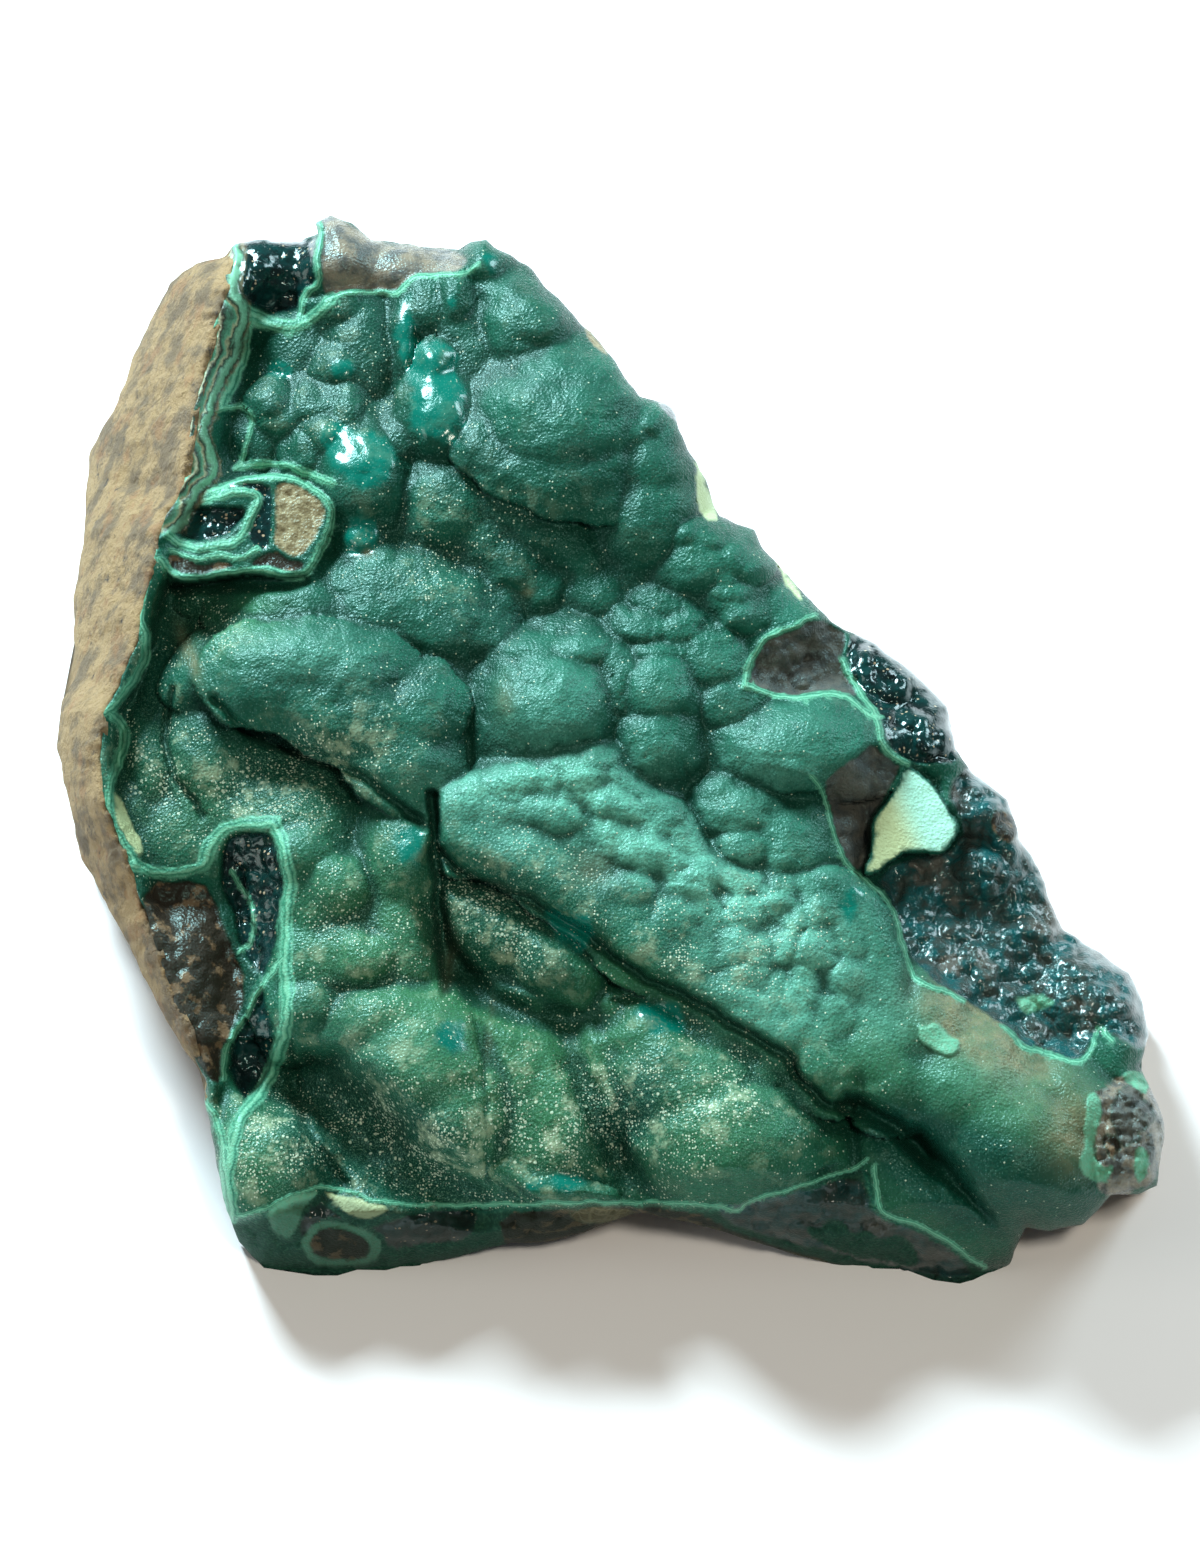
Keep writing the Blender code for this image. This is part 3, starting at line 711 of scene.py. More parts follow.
LAYERS = [
    Layer(path(
        426, 802, 445, 782, 495, 763, 545, 758, 575, 742, 610, 748, 645, 782, 690, 800, 716, 860, 790, 870,
        840, 862, 866, 882, 888, 907, 903, 945, 913, 985, 905, 1060, 880, 1095, 858, 1080, 845, 1098,
        825, 1094, 800, 1068, 795, 1046, 760, 1036, 740, 1020, 700, 1004, 690, 988, 640, 966, 600, 930,
        560, 905, 520, 885, 470, 868, 436, 845,
    ), 15.5, 22.0),
    Layer(path(
        215, 690, 232, 665, 250, 648, 275, 639, 300, 638, 325, 632, 350, 640, 375, 650, 395, 662, 412, 685,
        430, 705, 448, 740, 456, 780, 444, 812, 425, 805, 400, 784, 370, 766, 340, 748, 300, 737, 262, 731,
        236, 716,
    ), 15.5, 46.0),
    Layer(path(
        160, 520, 185, 498, 215, 487, 245, 477, 275, 474, 300, 479, 325, 494, 335, 512, 330, 532, 322, 552,
        310, 574, 290, 580, 250, 572, 200, 582, 168, 577, 156, 550,
    ), 7.0, 9.0),
    Layer(path(
        905, 765, 925, 775, 945, 800, 960, 830, 950, 848, 935, 855, 905, 852, 890, 865, 875, 875, 862, 872,
        870, 850, 873, 825, 880, 810, 895, 790,
    ), 6.0, 3.0),
]

BREAKS = [
    Break(Inner.DARK, path(
        222, 262, 232, 243, 262, 236, 300, 238, 317, 233, 314, 262, 318, 285, 303, 292, 300, 312, 262, 314,
        240, 302, 230, 285,
    ), 2.0, 5, 14, 0.8),
    Break(Inner.PALE, path(
        108, 794, 120, 796, 129, 815, 139, 835, 146, 852, 138, 857, 124, 839, 112, 812,
    ), -0.2, 3),
    Break(Inner.GREY, path(
        322, 235, 318, 215, 330, 211, 352, 220, 372, 236, 400, 243, 460, 246, 470, 262, 455, 274, 430, 275,
        411, 280, 397, 295, 370, 291, 345, 295, 325, 299, 320, 285, 318, 262,
    ), 1.5, 5),
    Break(Inner.SLATE, path(
        880, 890, 905, 945, 920, 975, 960, 1000, 1000, 1025, 1022, 1050, 1060, 1060, 1080, 1065, 1100, 1030,
        1150, 1060, 1180, 1000, 1120, 930, 1060, 850, 1020, 780, 970, 760, 945, 785, 962, 830, 950, 850,
        905, 856, 875, 878,
    ), 3.0, 6, 20, 1.9),
    Break(Inner.BROWN, path(
        990, 806, 1010, 808, 1022, 830, 1012, 848, 996, 842, 988, 824,
    ), -1.0, 5),
    Break(Inner.MINT, path(
        1012, 996, 1040, 990, 1062, 1000, 1050, 1012, 1028, 1020, 1014, 1010,
    ), 0.0, 8, 6, 0.3),
    Break(Inner.ASH, path(
        820, 780, 835, 770, 862, 750, 870, 740, 895, 762, 905, 765, 885, 800, 872, 820, 870, 850, 862, 872,
        845, 866, 830, 820,
    ), 2.0, 4, 30, 2.0),
    Break(Inner.ASH, path(
        752, 662, 760, 645, 775, 635, 800, 625, 815, 618, 845, 630, 848, 640, 842, 660, 850, 680, 862, 700,
        830, 692, 800, 697, 775, 697, 755, 690, 745, 685,
    ), 2.5, 4, 18, 1.4),
    Break(Inner.DARK, path(
        845, 628, 880, 635, 930, 672, 960, 710, 962, 755, 950, 768, 905, 764, 885, 745, 875, 715, 855, 690,
        846, 660,
    ), 1.5, 5, 19, 1.6),
    Break(Inner.PALE, path(
        905, 767, 925, 777, 945, 801, 958, 830, 948, 847, 935, 853, 905, 850, 890, 863, 875, 873, 864, 871,
        872, 850, 875, 825, 882, 810, 897, 790,
    ), 0.0, 3),
    Break(Inner.DARK, path(
        172, 525, 180, 512, 205, 506, 240, 505, 247, 512, 236, 530, 222, 540, 195, 541, 178, 536,
    ), 3.0, 4, 9, 0.8),
    Break(Inner.DARK, path(
        205, 484, 240, 480, 270, 483, 275, 500, 272, 545, 262, 552, 250, 545, 246, 535, 252, 514, 266, 497,
        235, 490, 210, 492,
    ), 1.0, 4, 7, 0.4),
    Break(Inner.TAN, path(
        275, 481, 300, 484, 320, 498, 328, 512, 322, 530, 312, 548, 298, 558, 280, 552, 272, 545, 276, 520,
        273, 500,
    ), 0.6, 4, 10, 0.35),
    Break(Inner.BROWN, path(
        255, 557, 272, 550, 300, 560, 306, 562, 300, 574, 270, 568, 250, 570,
    ), 0.8, 3),
    Break(Inner.BROWN, path(
        165, 556, 182, 556, 200, 564, 222, 560, 240, 566, 200, 576, 172, 573,
    ), 0.8, 3),
    Break(Inner.DARK, path(
        222, 838, 250, 828, 274, 830, 283, 860, 286, 890, 280, 920, 276, 955, 262, 982, 250, 1008,
        232, 1035, 228, 1060, 232, 1085, 245, 1108, 262, 1088, 278, 1055, 270, 1000, 262, 985, 240, 950,
        228, 905, 215, 870,
    ), 3.0, 6, 13, 0.9),
    Break(Inner.BROWN, path(
        140, 882, 205, 878, 218, 905, 235, 950, 250, 985, 235, 1030, 222, 1050, 226, 1090, 205, 1080,
        182, 1040, 158, 990, 145, 930,
    ), 1.5, 5, 22, 0.9),
    Break(Inner.MOSS, path(
        200, 1222, 240, 1218, 264, 1214, 290, 1202, 318, 1194, 350, 1216, 390, 1212, 440, 1208, 500, 1208,
        600, 1205, 700, 1207, 740, 1202, 800, 1192, 862, 1168, 872, 1176, 877, 1213, 925, 1229, 965, 1254,
        1000, 1290, 600, 1310, 200, 1310,
    ), 1.2, 3, 18, 1.2),
    Break(Inner.MINT, path(
        262, 1216, 282, 1196, 310, 1188, 322, 1192, 306, 1206, 300, 1226, 292, 1240, 280, 1236, 270, 1228,
    ), -0.4, 3),
    Break(Inner.PALE, path(
        322, 1190, 345, 1196, 370, 1199, 388, 1206, 384, 1216, 364, 1220, 346, 1214, 332, 1202,
    ), -0.2, 3),
    Break(Inner.DARK, path(
        296, 1232, 306, 1208, 324, 1200, 344, 1220, 366, 1228, 400, 1214, 440, 1210, 478, 1208, 478, 1228,
        466, 1244, 420, 1246, 388, 1254, 380, 1232, 350, 1222, 322, 1216, 306, 1240,
    ), 0.6, 3, 16, 0.8),
    Break(Inner.MINT, path(
        300, 1236, 318, 1218, 342, 1220, 372, 1230, 384, 1246, 376, 1266, 320, 1268, 304, 1256,
    ), -0.2, 3),
    Break(Inner.BROWN, path(
        308, 1236, 324, 1224, 342, 1226, 366, 1236, 374, 1250, 364, 1262, 324, 1262, 310, 1252,
    ), -0.6, 4, 14, 0.4),
    Break(Inner.BROWN, path(
        498, 1211, 560, 1207, 620, 1205, 700, 1208, 716, 1220, 760, 1238, 830, 1260, 880, 1272, 820, 1280,
        640, 1230, 600, 1236, 540, 1250, 500, 1252,
    ), 0.6, 4, 18, 1.0),
    Break(Inner.TAN, path(
        566, 1208, 612, 1206, 640, 1210, 626, 1222, 592, 1226, 574, 1222,
    ), 0.0, 4),
    Break(Inner.TAN, path(
        700, 1222, 760, 1242, 840, 1264, 838, 1276, 760, 1258, 700, 1236,
    ), 0.0, 4),
    Break(Inner.SLATE, path(
        706, 1206, 740, 1202, 800, 1192, 858, 1174, 868, 1190, 873, 1214, 920, 1231, 958, 1254, 980, 1276,
        940, 1280, 880, 1266, 800, 1246, 740, 1230,
    ), 0.4, 3, 18, 0.7),
    Break(Inner.MOSS, path(
        806, 1222, 822, 1230, 830, 1218, 846, 1222, 852, 1234, 866, 1228, 884, 1240, 898, 1232, 916, 1246,
        922, 1262, 906, 1268, 880, 1262, 850, 1258, 822, 1246, 806, 1236,
    ), -0.4, 3, 10, 0.6),
    Break(Inner.TAN, path(575, 316, 584, 322, 612, 352, 606, 358, 590, 342), 0.8, 3),
    Break(Inner.DARK, path(650, 396, 674, 398, 682, 425, 668, 416, 656, 404), 1.0, 3, 12, 0.5),
    Break(Inner.PALE, path(690, 452, 702, 470, 722, 520, 700, 520, 696, 485), 1.0, 3),
    Break(Inner.PALE, path(768, 552, 790, 572, 806, 600, 796, 598, 782, 578), 0.8, 3),
    Break(Inner.MINT, path(
        918, 1036, 918, 1022, 926, 1026, 936, 1018, 948, 1026, 950, 1036, 962, 1040, 958, 1056, 944, 1058,
        930, 1050, 922, 1044,
    ), -1.2, 4),
    Break(Inner.GREY, path(
        1090, 1092, 1110, 1078, 1140, 1070, 1175, 1110, 1170, 1170, 1130, 1204, 1104, 1196, 1090, 1170,
        1096, 1130,
    ), 0.6, 4, 13, 1.8, 3.0),
    Break(Inner.ASH, path(
        1110, 1090, 1138, 1086, 1154, 1112, 1146, 1140, 1124, 1150, 1108, 1130,
    ), 0.6, 5, 9, 1.2, 3.0),
    Break(Inner.BROWN, path(1100, 1136, 1116, 1128, 1124, 1150, 1112, 1164), 0.6, 4, 8, 0.6, 3.0),
    Break(Inner.MINT, path(
        1120, 1072, 1140, 1066, 1152, 1082, 1146, 1100, 1134, 1090, 1122, 1084,
    ), -0.4, 4),
    Break(Inner.MINT, path(
        1084, 1092, 1098, 1088, 1104, 1108, 1100, 1132, 1092, 1152, 1104, 1168, 1112, 1160, 1116, 1172,
        1104, 1186, 1086, 1180, 1074, 1162, 1084, 1140,
    ), -0.8, 4),
    Break(Inner.MINT, path(1130, 1150, 1144, 1142, 1152, 1160, 1146, 1184, 1134, 1180), -0.4, 4),
]

RIDGES = [
    Ridge(path(318, 222, 320, 240, 316, 262, 320, 285, 303, 295, 300, 315), 4.0, 1.2),
    Ridge(path(238, 306, 250, 318, 275, 325, 300, 325, 318, 312, 332, 300), 9.0, 1.0),
    Ridge(path(
        325, 300, 345, 295, 370, 291, 397, 296, 410, 280, 425, 275, 455, 276, 480, 265,
    ), 3.5, 0.8),
    Ridge(path(242, 312, 246, 330, 242, 358, 232, 385, 222, 402), 8.0, 0.8),
    Ridge(path(212, 410, 240, 405, 254, 416, 250, 432, 244, 455, 236, 468), 3.5, 0.8),
    Ridge(path(236, 466, 262, 462, 285, 463, 305, 472, 332, 482), 5.0, 1.0),
    Ridge(path(
        160, 524, 185, 500, 215, 489, 245, 479, 275, 476, 300, 481, 325, 496, 334, 513, 329, 532, 321, 552,
        309, 572, 296, 577,
    ), 5.0, 0.8),
    Ridge(path(
        165, 530, 175, 510, 200, 500, 235, 492, 262, 497, 250, 512, 245, 535, 230, 545, 200, 548, 175, 543,
    ), 5.5, 0.8, True),
    Ridge(path(172, 552, 195, 560, 215, 553, 240, 559, 256, 549), 4.0, 0.5),
    Ridge(path(160, 560, 170, 575, 200, 580, 240, 572, 270, 570, 300, 578), 5.5, 0.6),
    Ridge(path(
        155, 540, 150, 560, 142, 590, 140, 620, 148, 640, 146, 660, 135, 680, 120, 700, 104, 712,
    ), 5.5, 0.8),
    Ridge(path(114, 716, 128, 732, 122, 752, 108, 785, 112, 825, 136, 864), 6.5, 0.8),
    Ridge(path(133, 866, 170, 876, 204, 866), 7.0, 0.8),
    Ridge(path(204, 866, 211, 842, 225, 827, 250, 821, 276, 822), 8.0, 0.8),
    Ridge(path(
        276, 822, 285, 850, 291, 880, 286, 920, 284, 960, 289, 1000, 286, 1030, 275, 1062, 262, 1092,
        242, 1115, 232, 1140, 226, 1180, 233, 1215,
    ), 9.0, 1.2),
    Ridge(path(204, 1104, 220, 1120, 222, 1150, 228, 1190), 5.0, 0.6),
    Ridge(path(230, 870, 253, 900, 255, 945, 240, 952), 3.0, 0.5),
    Ridge(path(280, 960, 262, 985, 250, 1010, 235, 1035, 225, 1045, 225, 1080), 3.5, 0.5),
    Ridge(path(
        232, 1216, 262, 1212, 286, 1196, 310, 1186, 345, 1190, 390, 1204, 440, 1206, 500, 1204, 600, 1202,
        714, 1203, 732, 1212, 750, 1201, 790, 1189, 850, 1171, 866, 1160,
    ), 2.6, 0.8),
    Ridge(path(874, 1166, 877, 1200, 882, 1214, 930, 1228, 985, 1268), 3.4, 0.8),
    Ridge(path(
        812, 776, 825, 800, 835, 840, 845, 865, 870, 880, 890, 905, 905, 945, 912, 975, 920, 985, 938, 988,
        965, 1002,
    ), 3.2, 0.6),
    Ridge(path(745, 685, 780, 698, 800, 697, 845, 692, 862, 712, 880, 718), 4.0, 0.7),
    Ridge(path(746, 686, 748, 664, 760, 643, 775, 633, 800, 622, 815, 616), 4.0, 0.6),
    Ridge(path(842, 660, 852, 680, 864, 700, 878, 716, 880, 742, 892, 757, 908, 764), 4.0, 0.8),
    Ridge(path(
        1000, 1025, 1015, 1035, 1022, 1050, 1040, 1048, 1060, 1060, 1080, 1065, 1095, 1045, 1100, 1022,
        1112, 1042,
    ), 3.5, 0.5),
]

RIM_BAND = path(
    226, 250, 221, 290, 230, 312, 226, 340, 218, 362, 207, 382, 197, 402, 193, 422, 194, 442, 202, 468,
    190, 482, 184, 496, 170, 512, 160, 530,
)
RIM_HALF = 21.0
RIM_WIDE, RIM_NARROW = 34.0, 15.0

KNOBBED = spots(
    (340, 370, 120, 90), (330, 440, 110, 50), (640, 620, 150, 60), (620, 700, 160, 60),
    (770, 640, 80, 50, 0, 0.8), (520, 620, 60, 40, 0, 0.8), (480, 330, 80, 60, 0, 0.6),
    (740, 810, 60, 50, 0, 0.7),
)

@dataclass(frozen=True)
class KnobField:
    """Small round knobs all over parts of the face: their size in steps, height in millimetres and places."""

    size: float
    rise: float
    seed: int
    where: Sequence[Spot]

    def raise_on(self, x: Array, y: Array, out: Array) -> None:
        """Raises and lowers the face by the knobs, in place.

        Args:
            x: Steps to the right.
            y: Steps down.
            out: How far the face stands out at each place, in metres.
        """
        share = np.clip(painted(self.where, x, y), 0, 1)
        bumps = knobs(x + 0.4 * self.size * ripple(x, y, self.size * 2, self.seed), y, self.size, self.seed)
        out += share * (bumps - 0.5) * self.rise * MM


KNOB_FIELDS = [
    KnobField(11.0, 0.20, 41, spots((500, 480, 330, 260), (700, 760, 240, 160), (330, 640, 140, 100))),
    KnobField(19.0, 0.30, 43, spots((440, 460, 260, 200), (700, 680, 200, 120), (330, 640, 140, 80))),
    KnobField(14.0, 0.30, 57, spots(
        (640, 830, 170, 60, -28), (600, 780, 90, 40), (800, 930, 80, 80), (690, 620, 90, 40),
        (750, 780, 80, 50),
    )),
    KnobField(24.0, 0.5, 63, spots((690, 850, 120, 56, -28), (820, 950, 60, 90), (720, 620, 80, 50))),
    KnobField(44.0, 1.6, 77, spots((580, 790, 130, 40, -10), (720, 920, 80, 60, -30), (820, 960, 50, 90))),
]

# Dust with painted sparkle: where the pale specks and crumbs go, partly real dust and partly painted sparkle
# of light off fine grains; also where powder and frost go.
DUST_AND_SPARKLE = spots(
    (390, 1130, 100, 70, -35), (560, 1120, 110, 90, 0, 0.9), (500, 920, 70, 50, -30),
    (150, 770, 50, 90, 0, 0.9), (300, 765, 110, 40, 20, 0.9), (260, 1150, 50, 60),
    (330, 410, 80, 40, 0, 0.25), (470, 520, 80, 50, 0, 0.35), (350, 350, 60, 50, 0, 0.15),
    (600, 900, 120, 30, -35, 0.5), (740, 940, 90, 60, 0, 0.45), (420, 570, 70, 30, -30, 0.4),
    (200, 620, 50, 40, 0, 0.6), (470, 350, 50, 50, 0, 0.15), (730, 1100, 90, 70, 0, 0.8),
    (360, 940, 80, 90, 0, 0.7), (270, 800, 80, 30, 0, 0.6),
)

CLEAN = spots(
    (438, 404, 30, 44, 0, 1.4), (364, 462, 34, 34, 0, 1.2), (361, 534, 20, 22, 0, 1.2), (331, 433, 15, 17),
    (434, 360, 18, 18, 0, 1.2), (345, 370, 20, 16, 0, 0.9), (406, 330, 14, 40, 0, 0.9), (410, 845, 20, 28),
    (570, 928, 36, 24, -40), (662, 1018, 38, 24, -40), (455, 1036, 18, 22, 0, 0.9),
    (280, 372, 20, 16, 0, 0.8), (490, 260, 18, 20, 0, 0.7), (850, 905, 18, 30, -30, 0.8),
    (900, 700, 16, 14, 0, 0.8), (560, 1184, 60, 16, 0, 0.8), (452, 300, 10, 22, 0, 0.7),
    (905, 728, 30, 20, 0, 0.7), (430, 1040, 26, 20, 0, 0.4),
)

# Painted shade: patches where the greens are darkened to deep green, standing in for shade in hollows, under
# overhangs and on sides turned from the light.
PAINTED_SHADE = spots(
    (310, 345, 90, 60), (400, 320, 70, 50), (420, 440, 60, 30, 0, 0.6), (360, 1130, 76, 56, -40),
    (520, 940, 90, 30, -36, 0.6), (620, 1110, 30, 70, -30, 0.7), (560, 460, 80, 26, -10, 0.6),
    (1010, 1190, 70, 26, -30, 0.8), (215, 592, 40, 10, 0, 0.3), (300, 765, 90, 26, 20, 0.9),
    (330, 1130, 50, 60, 0, 0.9), (430, 1130, 40, 40, 0, 0.6), (640, 1120, 34, 60, -30, 0.7),
    (500, 980, 60, 24, -30, 0.8), (915, 1150, 70, 40, -42, 0.9), (1050, 1190, 60, 34, 0, 0.7),
    (530, 520, 50, 40, -30, 0.6), (520, 570, 50, 30, -40, 0.6), (440, 620, 40, 20, 0, 0.6),
    (840, 890, 30, 30, 0, 0.6), (650, 520, 50, 40, 0, 0.5), (700, 790, 50, 40, 0, 0.5),
    (170, 660, 30, 80, 0, 0.4), (520, 350, 40, 26, 0, 0.4), (1010, 1170, 100, 40, -30, 0.9),
    (1040, 1215, 70, 34, -20), (930, 1180, 90, 40, -40, 0.7), (230, 740, 50, 30, 0, 0.5),
)

STAIN = spots(
    (965, 1022, 46, 24, -35, 1.4), (1010, 1045, 50, 20, -30), (1072, 1132, 26, 36),
    (450, 960, 6, 40, -10, 0.25), (190, 655, 6, 26, 20, 0.8), (368, 553, 5, 4), (528, 592, 5, 4, 0, 0.8),
    (590, 868, 22, 16, 0, 0.35), (505, 700, 10, 20, 0, 0.3), (490, 1030, 4, 30, -5, 0.2),
    (1010, 1070, 60, 30, -40, 0.3),
)

FRONT_LINE = path(
    200, 1222, 262, 1214, 318, 1190, 350, 1194, 400, 1206, 500, 1206, 600, 1204, 714, 1205, 750, 1202,
    800, 1190, 862, 1165, 877, 1215, 925, 1229, 985, 1268, 1000, 1300, 1010, 1400, 1300, 1400,
)

LEAF = spots(
    (540, 1080, 130, 110, 0, 1.1), (360, 930, 80, 100, 0, 0.9), (720, 1120, 90, 80, 0, 0.7),
    (440, 1050, 60, 60, 0, 0.9), (260, 1150, 50, 60, 0, 0.9), (200, 800, 100, 60, 0, 0.6),
    (220, 615, 60, 36, 0, 0.9), (640, 1000, 80, 30, -35, 0.6), (1000, 1110, 130, 80, -30, 0.9),
    (920, 1180, 90, 50, -40, 0.9), (860, 1060, 50, 50, 0, 0.5),
)

# Painted light: patches where the greens are lightened, standing in for highlights and brightly lit tops.
PAINTED_LIGHT = spots(
    (470, 795, 44, 22, 0, 0.8), (550, 775, 70, 34, 0, 0.8), (620, 806, 70, 34, -15, 0.8),
    (640, 850, 60, 34, -20, 0.8), (740, 905, 50, 40, 0, 0.8), (820, 950, 54, 80, 0, 0.9),
    (700, 872, 50, 34, 0, 0.8), (760, 985, 54, 40, -30, 0.8), (520, 840, 50, 20, -15, 0.6),
    (740, 790, 50, 40, 0, 0.5), (790, 730, 70, 34, 0, 0.2), (890, 1010, 40, 40, 0, 0.4),
    (560, 690, 50, 40, 0, 0.2), (400, 1040, 50, 30, 0, 0.2), (310, 655, 50, 26, 0, 0.3),
    (700, 1060, 60, 40, 0, 0.1), (985, 1070, 60, 40, 0, 0.3),
)

# Painted sheen: patches of a paler satin green, stronger on the crests, standing in for the sheen of light on
# the lobes.
PAINTED_SHEEN = spots(
    (330, 660, 110, 60, -20, 0.6), (430, 600, 100, 50, 0, 0.8), (600, 800, 160, 70, -20),
    (560, 380, 70, 60, 0, 0.5), (650, 440, 50, 50, 0, 0.5), (720, 640, 120, 80), (760, 780, 110, 50),
    (820, 970, 90, 70, 0, 0.9), (980, 1080, 90, 70, -30, 0.5), (620, 680, 110, 70, 0, 0.8),
    (320, 820, 90, 40, 0, 0.8), (520, 770, 80, 40, 0, 0.8), (215, 620, 50, 30, 0, 0.6),
)

FRONT_EDGE_ROUND = 9 * MM
BED_DROP = 0.75
OVERHANGS = spots(
    (1040, 1190, 90, 60, -30, 9.4), (740, 1180, 90, 30, 0, 2.5), (930, 1230, 80, 40, -40, 3.0),
)


FALL_END = 2.3

@dataclass(frozen=True)
class Fall:
    """A line at whose right the face drops away: how wide the drop is, how deep and where it holds."""

    line: Sequence[Point]
    width: float
    depth: float
    where: Spot

    def cut_into(self, x: Array, y: Array, out: Array, shift: Shift) -> None:
        """Lowers the face beside the line, in place.

        Args:
            x: Steps to the right.
            y: Steps down.
            out: How far the face stands out at each place, in metres.
            shift: How far each place is moved before it is measured.
        """
        end = FALL_END * self.width
        near, away = measured(rounded(self.line, False), False, x, y, shift, end)
        share = np.clip(1.6 * self.where.weight(x[near], y[near]), 0, 1)
        share = share * ease(away, 0, self.width) * ease(away, end, 1.2 * self.width)
        out[near] -= self.depth * MM * share


FALLS = [
    Fall(path(
        290, 1036, 318, 1034, 345, 1040, 388, 1068, 420, 1106, 462, 1146, 500, 1172,
    ), 44, 12.0, Spot(390, 1120, 150, 110)),
    Fall(path(
        446, 880, 458, 930, 480, 966, 530, 998, 570, 1006, 606, 1000,
    ), 20, 5.5, Spot(515, 960, 120, 70)),
    Fall(path(
        584, 1006, 600, 1060, 618, 1110, 650, 1162, 696, 1186, 750, 1194, 800, 1176,
    ), 22, 5.0, Spot(670, 1120, 140, 110)),
]


@dataclass(frozen=True)
class Crease:
    """A groove along a line: half width in steps, depth in millimetres."""

    line: Sequence[Point]
    half: float
    depth: float

    def cut_into(self, x: Array, y: Array, out: Array, shift: Shift) -> None:
        """Lowers the face along the line, in place."""
        near, away = measured(rounded(self.line, False), False, x, y, shift, self.half)
        out[near] -= self.depth * MM * ease(1 - np.abs(away) / self.half, 0, 1)


CREASES = [
    Crease(path(431, 795, 436, 850, 440, 900, 444, 950, 447, 990), 10, 4.0),
    Crease(path(
        434, 800, 438, 852, 468, 878, 516, 894, 556, 914, 596, 940, 636, 974, 688, 997, 738, 1028,
        788, 1055, 797, 1074, 822, 1103, 850, 1110,
    ), 9, 4.5),
    Crease(path(
        440, 862, 470, 886, 516, 906, 556, 928, 596, 954, 636, 988, 686, 1010, 736, 1040, 784, 1066,
        798, 1090, 826, 1114, 850, 1120,
    ), 24, 3.0),
    Crease(path(290, 1045, 296, 1100, 318, 1150, 345, 1185), 10, 2.5),
    Crease(path(470, 1000, 482, 1050, 486, 1110, 488, 1180), 5, 0.8),
    Crease(path(214, 700, 250, 738, 300, 750, 350, 768, 390, 796, 425, 825), 9, 3.0),
    Crease(path(172, 690, 164, 720, 166, 750, 172, 780, 190, 792, 204, 818), 6, 2.0),
    Crease(path(850, 1104, 882, 1116, 925, 1148, 968, 1192, 1005, 1238), 18, 8.0),
    Crease(path(180, 588, 250, 584, 300, 582), 12, 5.0),
]


@dataclass
class Grid:
    """An even grid over the sheet, for what is dear to work out at each place."""

    spacing: float = 3.0
    left: float = 30.0
    top: float = 190.0
    right: float = 1200.0
    bottom: float = 1320.0

    def crossings(self) -> tuple[Array, Array]:
        """The places of the grid."""
        columns = np.arange(self.left, self.right, self.spacing)
        return np.meshgrid(columns, np.arange(self.top, self.bottom, self.spacing))

    def at(self, field: Array, x: Array, y: Array) -> Array:
        """Reads a field of the grid.

        Args:
            field: A number for each crossing.
            x: Steps to the right.
            y: Steps down.

        Returns:
            The number at each place, evened out between the crossings.
        """
        column = np.clip((x - self.left) / self.spacing, 0, field.shape[1] - 1.001)
        row = np.clip((y - self.top) / self.spacing, 0, field.shape[0] - 1.001)
        left, high = column.astype(int), row.astype(int)
        right, low = column - left, row - high
        upper = field[high, left] * (1 - right) + field[high, left + 1] * right
        lower = field[high + 1, left] * (1 - right) + field[high + 1, left + 1] * right
        return upper * (1 - low) + lower * low


GRID = Grid()


SHOULDER = 8 * MM
FLANK_FALL = 1.1
FLANK_CURVE = 40.0
GROUND_SHARE = 0.12
RIM_STRAY = 1.6
RIM_RIPPLES = 9.5
RIM_END = 532


